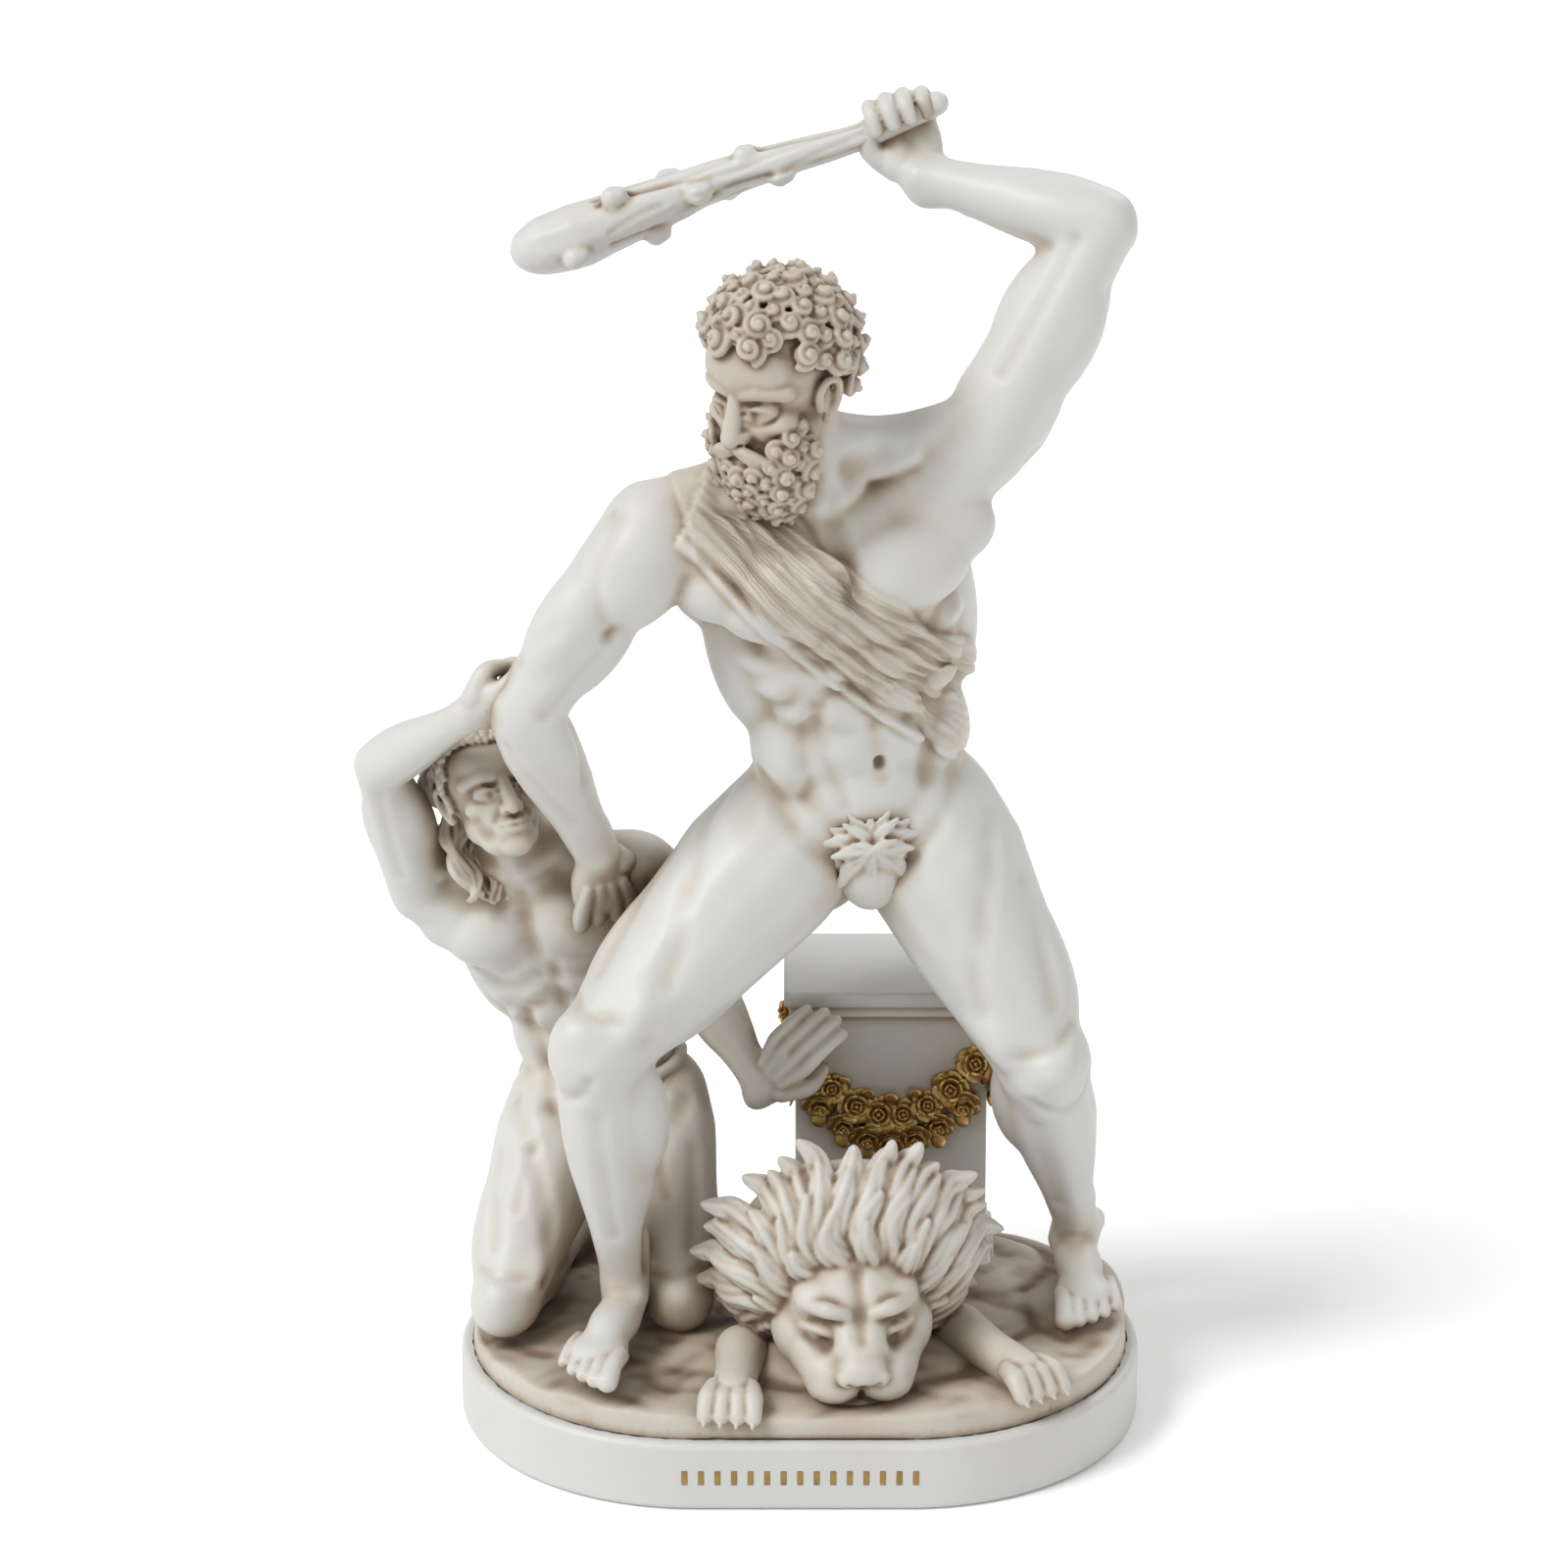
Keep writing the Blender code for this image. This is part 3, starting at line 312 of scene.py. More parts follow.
# Roses along the garland's front and sides, and how high it hangs on the altar
FRONT_ROSES = 8
SIDE_ROSES = 5
GARLAND_LEVEL = 0.80


def lerp(low, high, share):
    return low + (high - low) * share


def size_of(figure):
    """A figure's size against the one that the tables are drawn for."""
    return figure["stature"] / MODEL_STATURE


class Frame:
    """A place with three directions of its own: left, front and up of a figure."""

    def __init__(self, origin, left, front, up):
        self.origin = Vector(origin)
        self.left = left
        self.front = front
        self.up = up

    def point(self, left, front, up):
        return self.origin + self.left * left + self.front * front + self.up * up


def body_frame(origin, up, left):
    """A frame that keeps the given up and takes left and front square to it."""
    up = Vector(up).normalized()
    front = Vector(left).cross(up).normalized()
    return Frame(origin, up.cross(front).normalized(), front, up)


class Bone:
    """A limb's axis from one joint to the next, with its front and its outer side."""

    def __init__(self, start, end, front, side, figure):
        self.start = Vector(start)
        self.length = (Vector(end) - self.start).length
        self.along = (Vector(end) - self.start).normalized()
        front = Vector(front)
        self.front = (front - self.along * front.dot(self.along)).normalized()
        self.out = self.along.cross(self.front) * side
        self.scale = size_of(figure)
        self.girth = self.scale * figure["build"]

    def point(self, share, out, front):
        offset = (self.out * out + self.front * front) * self.girth
        return self.start + self.along * self.length * share + offset


def template(make, **settings):
    """The corners, face corners and face sizes of one Blender primitive of unit size."""
    shape = bmesh.new()
    make(shape, **settings)
    corners = np.array([corner.co for corner in shape.verts])
    loops = np.array([corner.index for face in shape.faces for corner in face.verts])
    sizes = np.array([len(face.verts) for face in shape.faces])
    shape.free()
    return corners, loops, sizes


def smooth_line(points, radii, spacing):
    """Points and radii on a smooth curve through the given ones, spacing radii apart."""
    points = [Vector(point) for point in points]
    places, widths = [], []
    last = len(points) - 1
    for index in range(last):
        before = points[max(index - 1, 0)]
        start, end = points[index], points[index + 1]
        after = points[min(index + 2, last)]
        reach = (end - start).length
        thick = max(min(radii[index], radii[index + 1]), 0.2)
        count = max(1, int(math.ceil(reach / (thick * spacing))))
        for number in range(count):
            share = number / count
            square, cube = share * share, share * share * share
            place = (
                start * 2
                + (end - before) * share
                + (before * 2 - start * 5 + end * 4 - after) * square
                + (start * 3 - before - end * 3 + after) * cube
            ) * 0.5
            places.append(place)
            widths.append(lerp(radii[index], radii[index + 1], share))
    places.append(points[last])
    widths.append(radii[last])
    return np.array(places), np.array(widths)


class Clay:
    """Overlapping closed lumps, in grid steps, later fused to one skin."""

    sphere = template(bmesh.ops.create_uvsphere, u_segments=20, v_segments=12, radius=1.0)
    bead = template(bmesh.ops.create_icosphere, subdivisions=2, radius=1.0)

    def __init__(self):
        self.corners = []
        self.loops = []
        self.sizes = []
        self.count = 0

    def add(self, corners, loops, sizes):
        self.corners.append(corners)
        self.loops.append(loops + self.count)
        self.sizes.append(sizes)
        self.count += len(corners)

    def ball(self, centre, radii, axes):
        """An ellipsoid with its three radii along the three axes."""
        corners, loops, sizes = self.sphere
        self.add((corners * np.array(radii)) @ np.array(axes) + np.array(centre), loops, sizes)

    def knobs(self, centres, radii):
        """Small balls, all at once."""
        corners, loops, sizes = self.bead
        count = len(centres)
        placed = corners[None] * radii[:, None, None] + centres[:, None]
        shift = np.arange(count)[:, None] * len(corners)
        self.add(placed.reshape(-1, 3), (loops[None] + shift).ravel(), np.tile(sizes, count))

    def rope(self, points, radii, spacing=0.4):
        """A round-ended rod on a smooth curve through the points, with a radius at each."""
        self.knobs(*smooth_line(points, radii, spacing))

    def piece(self, obj):
        """The faces of a finished object, taken into the clay."""
        mesh = obj.data
        corners = read(mesh.vertices, "co", 3)
        loops = np.empty(len(mesh.loops), np.int64)
        mesh.loops.foreach_get("vertex_index", loops)
        sizes = np.empty(len(mesh.polygons), np.int64)
        mesh.polygons.foreach_get("loop_total", sizes)
        self.add(corners, loops, sizes)
        bpy.data.objects.remove(obj)

    def limb(self, bone, line, muscles):
        points = [bone.point(share, 0, 0) for share, _ in line]
        self.rope(points, [radius * bone.girth for _, radius in line], 0.25)
        for share, out, front, wide, deep, reach in muscles:
            sizes = (wide * bone.girth, deep * bone.girth, reach * bone.scale)
            self.ball(bone.point(share, out, front), sizes, (bone.out, bone.front, bone.along))

    def masses(self, frame, table, scale, build=1.0):
        """The lumps of a table, those off the middle line on both sides."""
        axes = (frame.left, frame.front, frame.up)
        girth = scale * build
        for left, front, up, wide, deep, tall in table:
            for side in (-1, 1) if left else (1,):
                centre = frame.point(left * side * girth, front * girth, up * scale)
                self.ball(centre, (wide * girth, deep * girth, tall * scale), axes)

    def made(self, name):
        """An object of all the lumps, still apart."""
        mesh = bpy.data.meshes.new(name)
        corners = np.vstack(self.corners)
        loops = np.concatenate(self.loops)
        sizes = np.concatenate(self.sizes)
        mesh.vertices.add(len(corners))
        mesh.vertices.foreach_set("co", corners.ravel())
        mesh.loops.add(len(loops))
        mesh.loops.foreach_set("vertex_index", loops)
        mesh.polygons.add(len(sizes))
        mesh.polygons.foreach_set("loop_start", np.cumsum(sizes) - sizes)
        mesh.polygons.foreach_set("loop_total", sizes)
        mesh.update(calc_edges=True)
        obj = bpy.data.objects.new(name, mesh)
        bpy.context.scene.collection.objects.link(obj)
        return obj


def read(items, field, width=1):
    """A field of a mesh's vertices or edges as an array."""
    values = np.empty(len(items) * width, np.float64 if width == 3 else np.int64)
    items.foreach_get(field, values)
    return values.reshape(-1, width) if width > 1 else values


def only(obj):
    """Selects one object alone and makes it the active one."""
    bpy.ops.object.select_all(action="DESELECT")
    obj.select_set(True)
    bpy.context.view_layer.objects.active = obj


def copied(obj):
    """A copy of a piece with a mesh of its own."""
    copy = obj.copy()
    copy.data = obj.data.copy()
    bpy.context.scene.collection.objects.link(copy)
    return copy


def store(mesh, name, values):
    """Keeps one number at each point of a mesh, for its material."""
    mesh.attributes.new(name, "FLOAT", "POINT").data.foreach_set("value", values)


def applied(obj, kind, **settings):
    """Adds a modifier with its settings and applies it."""
    modifier = obj.modifiers.new(kind.lower(), kind)
    for name, value in settings.items():
        setattr(modifier, name, value)
    only(obj)
    bpy.ops.object.modifier_apply(modifier=modifier.name)
    return obj


def rounded_block(centre, size, edge, segments):
    """A block with eased edges."""
    bpy.ops.object.select_all(action="DESELECT")
    bpy.ops.mesh.primitive_cube_add(size=1, location=centre, scale=size)
    block = bpy.context.object
    only(block)
    bpy.ops.object.transform_apply(location=True, rotation=True, scale=True)
    return applied(block, "BEVEL", width=edge, segments=segments, limit_method="ANGLE")


def fused(clay, name, voxel, passes):
    """The clay as one closed skin, softened."""
    obj = clay.made(name)
    applied(obj, "REMESH", mode="VOXEL", voxel_size=voxel)
    if passes:
        applied(obj, "SMOOTH", factor=0.5, iterations=passes)
    return obj


# How far off the rays start that find the surface of a trunk or head, and of a limb
TRUNK_CLEAR = 60
LIMB_CLEAR = 40
CLUB_CLEAR = 20
MIDDLE = (1,)


class Skin:
    """A mesh that is worked by pressing and raising along lines on its surface."""

    def __init__(self, obj):
        self.obj = obj
        self.places = read(obj.data.vertices, "co", 3)
        self.normals = read(obj.data.vertices, "normal", 3)
        self.shift = np.zeros(len(self.places))
        self.tree = BVHTree.FromObject(obj, bpy.context.evaluated_depsgraph_get())

    def landed(self, starts, headings):
        """Where rays first meet the surface; those that miss it are left out."""
        spots = (self.tree.ray_cast(*ray)[0] for ray in zip(starts, headings))
        return [spot for spot in spots if spot]

    def front(self, frame, places, scale, behind=False):
        """Points of a frame's (left, up) pairs, landed on its front or its back."""
        way = -1 if behind else 1
        starts = [frame.point(left * scale, TRUNK_CLEAR * way, up * scale) for left, up in places]
        return self.landed(starts, [frame.front * -way] * len(starts))

    def round(self, bone, places):
        """Points of a bone's (share, angle) pairs, landed from outside; 0 is the front, 90 out."""
        turns = [math.radians(angle) for _, angle in places]
        outward = [bone.front * math.cos(turn) + bone.out * math.sin(turn) for turn in turns]
        starts = [
            bone.point(share, 0, 0) + heading * LIMB_CLEAR
            for (share, _), heading in zip(places, outward)
        ]
        return self.landed(starts, [-heading for heading in outward])

    def carve(self, frame, table, scale, sides=(-1, 1), behind=False, thick=None):
        """Strokes of a table: (left, up) pairs, radius and height, on each of the sides."""
        thick = scale if thick is None else thick
        for side in sides:
            for places, radius, height in table:
                turned = [(left * side, up) for left, up in places]
                landed = self.front(frame, turned, scale, behind)
                self.stroke(landed, radius * thick, height * thick)

    def near(self, points, radius):
        """Which vertices lie within a radius of a line of points, and how near, 1 to 0."""
        line, _ = smooth_line(points, [radius] * len(points), 0.35)
        low, high = line.min(0) - radius, line.max(0) + radius
        inside = np.nonzero(((self.places > low) & (self.places < high)).all(1))[0]
        if not len(inside):
            return inside, np.zeros(0)
        gap = np.full(len(inside), 1e9)
        spots = self.places[inside]
        for place in line:
            gap = np.minimum(gap, ((spots - place) ** 2).sum(1))
        share = np.clip(1 - gap / radius**2, 0, 1)
        return inside, share * share

    def stroke(self, points, radius, height):
        """Raises, or with a negative height presses in, a line of points."""
        if len(points) < 2:
            points = list(points) * 2
        if not points:
            return
        if (Vector(points[0]) - Vector(points[-1])).length < 1e-6:
            points = [points[0], Vector(points[0]) + Vector((0, 0, 0.01))]
        inside, weight = self.near(points, radius)
        np.add.at(self.shift, inside, weight * height)

    def finish(self):
        """Moves the surface by what the strokes gave."""
        moved = self.places + self.normals * self.shift[:, None]
        self.obj.data.vertices.foreach_set("co", moved.ravel())
        self.obj.data.update()
        return self.obj


def joint(figure, name):
    return Vector(figure[name])


def leg_bones(figure, side_name, side):
    hip = joint(figure, f"hip_{side_name}")
    knee = joint(figure, f"knee_{side_name}")
    ankle = joint(figure, f"ankle_{side_name}")
    heading = Vector((*figure[f"toes_{side_name}"], 0))
    bend = knee - (hip + ankle) / 2
    front = bend + heading * 0.2 * (1 if heading.dot(bend) > 0 else 0)
    return Bone(hip, knee, front, side, figure), Bone(knee, ankle, front, side, figure)


def arm_bones(figure, side_name, side):
    shoulder = joint(figure, f"shoulder_{side_name}")
    elbow = joint(figure, f"elbow_{side_name}")
    wrist = joint(figure, f"wrist_{side_name}")
    front = (shoulder + wrist) / 2 - elbow
    return Bone(shoulder, elbow, front, side, figure), Bone(elbow, wrist, front, side, figure)


def trunk_frames(figure):
    """Frames of the pelvis, the waist and the chest."""
    pelvis, waist = joint(figure, "pelvis"), joint(figure, "waist")
    chest, neck = joint(figure, "chest"), joint(figure, "neck")
    hips = joint(figure, "hip_left") - joint(figure, "hip_right")
    shoulders = joint(figure, "shoulder_left") - joint(figure, "shoulder_right")
    low = body_frame(pelvis, waist - pelvis, hips)
    middle = body_frame(waist, chest - pelvis, hips + shoulders)
    high = body_frame(chest, neck - waist, shoulders)
    return low, middle, high


def head_frame(figure):
    """The head's frame, from where the face looks."""
    neck, head = joint(figure, "neck"), joint(figure, "head")
    face = Vector(figure["face"]).normalized()
    lean = (head - neck).normalized() * 0.35 + Vector((0, 0, 1))
    up = (lean - face * lean.dot(face)).normalized()
    return Frame(head, face.cross(up) * -1, face, up)


SIDES = (("right", 1), ("left", -1))


def trunk(clay, figure):
    """Pelvis, waist, ribs, shoulders and neck."""
    scale = size_of(figure)
    girth = scale * figure["build"]
    low, middle, high = trunk_frames(figure)
    clay.masses(low, PELVIS_MASSES, scale, figure["build"])
    clay.masses(middle, WAIST_MASSES, scale, figure["build"])
    clay.masses(high, CHEST_MASSES, scale, figure["build"])
    neck, head = joint(figure, "neck"), joint(figure, "head")
    clay.rope([neck - high.up * 4 * scale, lerp(neck, head, 0.6)], [11.5 * scale, 9.6 * scale])
    for side_name, hand_side in SIDES:
        shoulder = joint(figure, f"shoulder_{side_name}")
        top = shoulder + high.up * 5.5 * scale
        slope = [lerp(neck, head, 0.35), lerp(neck, shoulder, 0.45) + high.up * 2 * scale, top]
        clay.rope(slope, [7.0 * scale, 7.2 * scale, 5.6 * scale])
        for left, front, up, inner, outer in SHOULDER_JOINS:
            start = high.point(-left * hand_side * scale, front * scale, up * scale)
            end = shoulder + high.front * front * 0.35 * scale
            clay.rope([start, end], [inner * girth, outer * girth])


def foot_axes(heading, side):
    along = Vector((*heading, 0)).normalized()
    up = Vector((0, 0, 1))
    return along, along.cross(up) * -side, up


def foot(clay, ankle, heading, side, scale, drop):
    """A bare foot flat on the ground, its sole drop below the ankle joint."""
    along, inner, up = foot_axes(heading, side)
    sole = Vector(ankle) - up * drop
    for forwards, inwards, height, *radii in FOOT_LUMPS:
        centre = sole + (along * forwards + inner * inwards + up * height) * scale
        clay.ball(centre, [r * scale for r in radii], (along, inner, up))


def toes(clay, ankle, heading, side, scale, drop):
    """Five toes, each with a joint and a round pad."""
    along, inner, up = foot_axes(heading, side)
    sole = Vector(ankle) - up * drop

    def place(forwards, inwards, height):
        return sole + (along * forwards + inner * inwards + up * height) * scale

    for toe, (reach, radius) in enumerate(zip(TOE_REACHES, TOE_RADII)):
        inwards = (2 - toe) * TOE_PITCH
        points = [
            place(reach - 10.0, inwards, 4.0),
            place(reach - 4.6, inwards * 1.05, 4.2),
            place(reach, inwards * 1.06, 2.1),
        ]
        clay.rope(points, [radius * share * scale for share in (0.9, 0.84, 1.0)], 0.25)


# The curl from which a hand counts as a fist, whose knuckles stay low
FIST_CURL = 0.5
KNUCKLE_LIFT = 1.2
# Lumps of a palm and wrist: (forwards, towards the thumb, out of the palm, radii likewise)
PALM_LUMPS = (
    (8.5, 0.0, 0.0, 9.0, 7.6, 4.2),
    (12.0, 0.0, -0.6, 5.0, 7.8, 3.6),
    (6.0, 4.6, 1.6, 6.0, 3.8, 3.8),
    (0.0, 0.0, 0.0, 8.0, 5.4, 4.6),
)


def hand_axes(along, palm, thumb_side):
    """A hand's own directions: along the fingers, towards the thumb, and out of the palm."""
    along = Vector(along).normalized()
    palm = Vector(palm)
    palm = (palm - along * palm.dot(along)).normalized()
    return along, along.cross(palm) * thumb_side, palm


def palm_mass(clay, wrist, along, palm, scale, _, thumb_side):
    """The palm, the ball of the thumb and the wrist that leads into them."""
    axes = hand_axes(along, palm, thumb_side)
    for forwards, outwards, down, *radii in PALM_LUMPS:
        reach = axes[0] * forwards + axes[1] * outwards + axes[2] * down
        clay.ball(Vector(wrist) + reach * scale, [radius * scale for radius in radii], axes)


def fingers(clay, wrist, along, palm, scale, curl, thumb_side):
    """Four jointed fingers, bent by the curl at each joint, and a thumb."""
    along, across, palm = hand_axes(along, palm, thumb_side)

    def place(forwards, outwards, down):
        return Vector(wrist) + (along * forwards + across * outwards + palm * down) * scale

    knuckle_lift = KNUCKLE_LIFT if curl < FIST_CURL else 0.0
    for finger, length in enumerate(FINGER_LENGTHS):
        shift = (1.5 - finger) * FINGER_PITCH
        point = place(KNUCKLE_REACH, shift, -0.4 - knuckle_lift)
        points = [place(KNUCKLE_REACH / 2, shift * 0.7, -1.4 - 1.7 * knuckle_lift), point]
        angle = 0.0
        for share in FINGER_JOINTS:
            angle += curl
            heading = along * math.cos(angle) + palm * math.sin(angle)
            point = point + heading * length * share * scale
            points.append(point)
        radius = FINGER_RADIUS * scale * 0.94
        clay.rope(points, [radius * share for share in (0.6, 1.06, 1.0, 0.94, 0.84)], 0.25)
    thumb = [place(4.0, 4.6, 0), place(9.0, 8.6, 3.6), place(13.4, 8.1 - curl * 2, 7.8)]
    clay.rope(thumb, [3.4 * scale, 2.7 * scale, 2.1 * scale], 0.25)


# Lines of the trunk in the chest's or the pelvis's plane: (left, up) pairs, radius, height
FRONT_CARVING = (
    (((0, 21), (0, 8), (0, -7)), 4.2, -0.9),
    (((0, -10), (0, -22), (0, -38)), 3.2, -0.7),
)
PAIRED_CARVING = (
    (((3, -4), (9, -6.5), (16, -5.5), (22, -1)), 4.0, -0.9),
    (((2, -12), (8, -15), (13, -22), (16, -31)), 3.8, -0.7),
    (((3, 27), (11, 28.5), (20, 30.5)), 3.0, 1.0),
    (((5, 33), (13, 34)), 4.6, -0.9),
    (((1, -15), (8, -14.5)), 3.0, -0.35),
    (((1, -25), (8, -24.5)), 3.0, -0.35),
    (((10.5, -18), (11.5, -30), (9, -42)), 3.4, -0.7),
)
GROIN_CARVING = ((((22, 16), (17, 8), (10, 0), (4, -7)), 3.8, -1.1),)
BACK_CARVING = (
    (((6, 22), (8, 12), (10, 0)), 3.6, -0.8),
    (((10, 0), (16, -3), (22, 2)), 3.6, -0.8),
    (((5.5, -12), (7, -26), (9, -40)), 4.0, -0.5),
)
BACK_PELVIS_CARVING = (
    (((5.5, 15), (6, 14)), 3.4, -1.0),
    (((3, -13), (9, -15), (15, -12)), 3.6, -1.2),
)
SPINE_CARVING = ((((0, 22), (0, 0), (0, -24), (0, -42)), 4.2, -1.3),)
CLEFT_CARVING = ((((0, 9), (0, -2), (0, -12)), 3.2, -1.9),)
NAVEL_CARVING = ((((0, -34), (0, -35)), 1.8, -1.4),)


def carve_trunk(skin, figure):
    """Breast bone, collar bones, ribs, belly, spine and shoulder blades."""
    scale = size_of(figure)
    low, _, high = trunk_frames(figure)
    skin.carve(high, FRONT_CARVING, scale, MIDDLE)
    skin.carve(high, PAIRED_CARVING, scale)
    skin.carve(low, GROIN_CARVING, scale)
    skin.carve(high, BACK_CARVING, scale, behind=True)
    skin.carve(low, BACK_PELVIS_CARVING, scale, behind=True)
    skin.carve(high, SPINE_CARVING, scale, MIDDLE, behind=True)
    skin.carve(low, CLEFT_CARVING, scale, MIDDLE, behind=True)


# Lines on the limbs: ((share, angle) pairs, radius, height); 0 is the front and 90 outside
THIGH_CARVING = (
    (((0.10, 35), (0.35, 0), (0.62, -40), (0.88, -75)), 4.2, -0.8),
    (((0.35, 38), (0.58, 32), (0.80, 22)), 3.8, -0.6),
    (((0.25, 100), (0.55, 100), (0.92, 110)), 4.4, -0.8),
    (((0.45, 180), (0.70, 180), (0.92, 180)), 4.0, -0.7),
    (((0.90, 42), (0.94, 0), (0.90, -42)), 2.8, -0.6),
)
SHIN_CARVING = (
    (((0.01, 46), (0.07, 32), (0.11, 0), (0.07, -32), (0.01, -46)), 2.6, -0.8),
    (((0.14, 48), (0.40, 50), (0.75, 60)), 3.4, -0.7),
    (((0.18, -50), (0.40, -48), (0.70, -50)), 3.4, -0.7),
    (((0.10, 180), (0.28, 180), (0.44, 180)), 3.4, -0.8),
    (((0.46, 215), (0.52, 180), (0.46, 145)), 3.0, -0.5),
    (((0.74, 140), (0.92, 130)), 3.0, -0.9),
    (((0.74, 220), (0.92, 230)), 3.0, -0.9),
)
UPPER_ARM_CARVING = (
    (((0.02, 10), (0.22, 35), (0.46, 80)), 3.6, -0.9),
    (((0.02, 170), (0.22, 150), (0.46, 96)), 3.6, -0.8),
    (((0.42, 88), (0.70, 88), (0.92, 96)), 3.2, -0.8),
    (((0.30, -85), (0.62, -85), (0.90, -80)), 3.2, -0.8),
    (((0.55, 150), (0.78, 180)), 3.0, -0.5),
)
FOREARM_CARVING = (
    (((0.04, 20), (0.18, 30), (0.45, 55)), 3.0, -0.7),
    (((0.05, 150), (0.30, 130), (0.65, 110)), 2.6, -0.6),
    (((0.20, -40), (0.50, -30), (0.80, -10)), 2.4, -0.4),
    (((0.50, 5), (0.72, -5), (0.92, 5)), 1.3, 0.35),
    (((0.30, 60), (0.55, 75), (0.85, 60)), 1.3, 0.35),
)


def carve_limbs(skin, figure):
    for side_name, side in SIDES:
        thigh, shin = leg_bones(figure, side_name, side)
        upper, fore = arm_bones(figure, side_name, side)
        tables = (
            (thigh, THIGH_CARVING),
            (shin, SHIN_CARVING),
            (upper, UPPER_ARM_CARVING),
            (fore, FOREARM_CARVING),
        )
        for bone, table in tables:
            for places, radius, height in table:
                skin.stroke(skin.round(bone, places), radius * bone.scale, height * bone.scale)


# Fineness of the clay, in steps
BODY_VOXEL = 0.95
BODY_SOFTENING = 20
CARVING_VOXEL = 0.70
CARVING_SOFTENING = 5
SKIN_VOXEL = 0.52
SKIN_SOFTENING = 2
SKULL_VOXEL = 0.60
SKULL_SOFTENING = 16
HEAD_VOXEL = 0.34
FACE_SOFTENING = 14
LION_VOXEL = 0.48


def figure_body(figure, name, ends):
    """A body without its head: softened masses, then carving, toes and fingers."""
    core = Clay()
    trunk(core, figure)
    for side_name, side in SIDES:
        thigh, shin = leg_bones(figure, side_name, side)
        core.limb(thigh, THIGH_LINE, THIGH_MUSCLES)
        core.limb(shin, SHIN_LINE, SHIN_MUSCLES)
        upper, fore = arm_bones(figure, side_name, side)
        core.limb(upper, UPPER_ARM_LINE, UPPER_ARM_MUSCLES)
        core.limb(fore, FOREARM_LINE, FOREARM_MUSCLES)
    for ankle, heading, side, scale, drop in ends["feet"]:
        foot(core, ankle, heading, side, scale, drop)
    for settings in ends["hands"]:
        palm_mass(core, *settings)
    soft = fused(core, name, BODY_VOXEL, BODY_SOFTENING)
    applied(soft, "REMESH", mode="VOXEL", voxel_size=CARVING_VOXEL)
    skin = Skin(soft)
    carve_trunk(skin, figure)
    carve_limbs(skin, figure)
    skin.finish()
    applied(soft, "SMOOTH", factor=0.5, iterations=CARVING_SOFTENING)
    fine = Clay()
    fine.piece(soft)
    for ankle, heading, side, scale, drop in ends["feet"]:
        toes(fine, ankle, heading, side, scale, drop)
    for settings in ends["hands"]:
        fingers(fine, *settings)
    body = fused(fine, name, SKIN_VOXEL, SKIN_SOFTENING)
    skin = Skin(body)
    skin.carve(trunk_frames(figure)[2], NAVEL_CARVING, size_of(figure), MIDDLE)
    return skin.finish()


# Feet: (ankle, heading, side, scale, height of the ankle over the sole). Hands: (wrist,
# where the fingers point, where the palm faces, scale, curl of each finger joint, side)
HERO_ENDS = {
    "feet": (
        (HERO["ankle_right"], HERO["toes_right"], 1, 1.0, 11),
        (HERO["ankle_left"], HERO["toes_left"], -1, 1.0, 11),
    ),
    "hands": (
        (HERO["wrist_right"], (0.1, 0.25, -1.0), (-0.35, 0.9, 0.3), 1.05, 0.42, 1),
        (HERO["wrist_left"], (-0.296, 0.586, 0.754), (-0.163, -0.807, 0.563), 1.05, 1.15, -1),
    ),
}
FOE_ENDS = {
    "feet": (
        (FOE["ankle_right"], FOE["toes_right"], 1, 0.8, 7),
        (FOE["ankle_left"], FOE["toes_left"], -1, 0.8, 7),
    ),
    "hands": (
        (FOE["wrist_right"], (0.85, -0.15, 0.35), (0.1, 0.9, 0.2), 0.88, 1.15, 1),
        (FOE["wrist_left"], (0.55, -0.2, 0.8), (0.4, 0.8, -0.2), 0.88, 0.3, -1),
    ),
}


def spread(count):
    """Directions spread evenly over a sphere."""
    turn = math.pi * (3 - math.sqrt(5))
    for index in range(count):
        height = 1 - 2 * (index + 0.5) / count
        radius = math.sqrt(1 - height * height)
        yield math.cos(turn * index) * radius, math.sin(turn * index) * radius, height


# Balls strung along one curl, and how many times it winds
CURL_STEPS = 44
CURL_TURNS = 1.9


def snail(clay, centre, outward, radius, turn):
    """A curl of hair, wound up like a snail's shell to a blunt cone."""
    outward = Vector(outward).normalized()
    across = outward.orthogonal().normalized()
    other = outward.cross(across)
    points, radii = [centre + outward * radius * 0.1], [radius * 0.72]
    for index in range(CURL_STEPS):
        share = index / (CURL_STEPS - 1)
        angle = turn + share * 2 * math.pi * CURL_TURNS
        reach = radius * lerp(0.86, 0.06, share)
        rise = radius * lerp(0.02, 0.98, share**0.85)
        ray = across * math.cos(angle) + other * math.sin(angle)
        points.append(centre + ray * reach + outward * rise)
        radii.append(radius * lerp(0.27, 0.21, share))
    clay.knobs(np.array(points), np.array(radii))


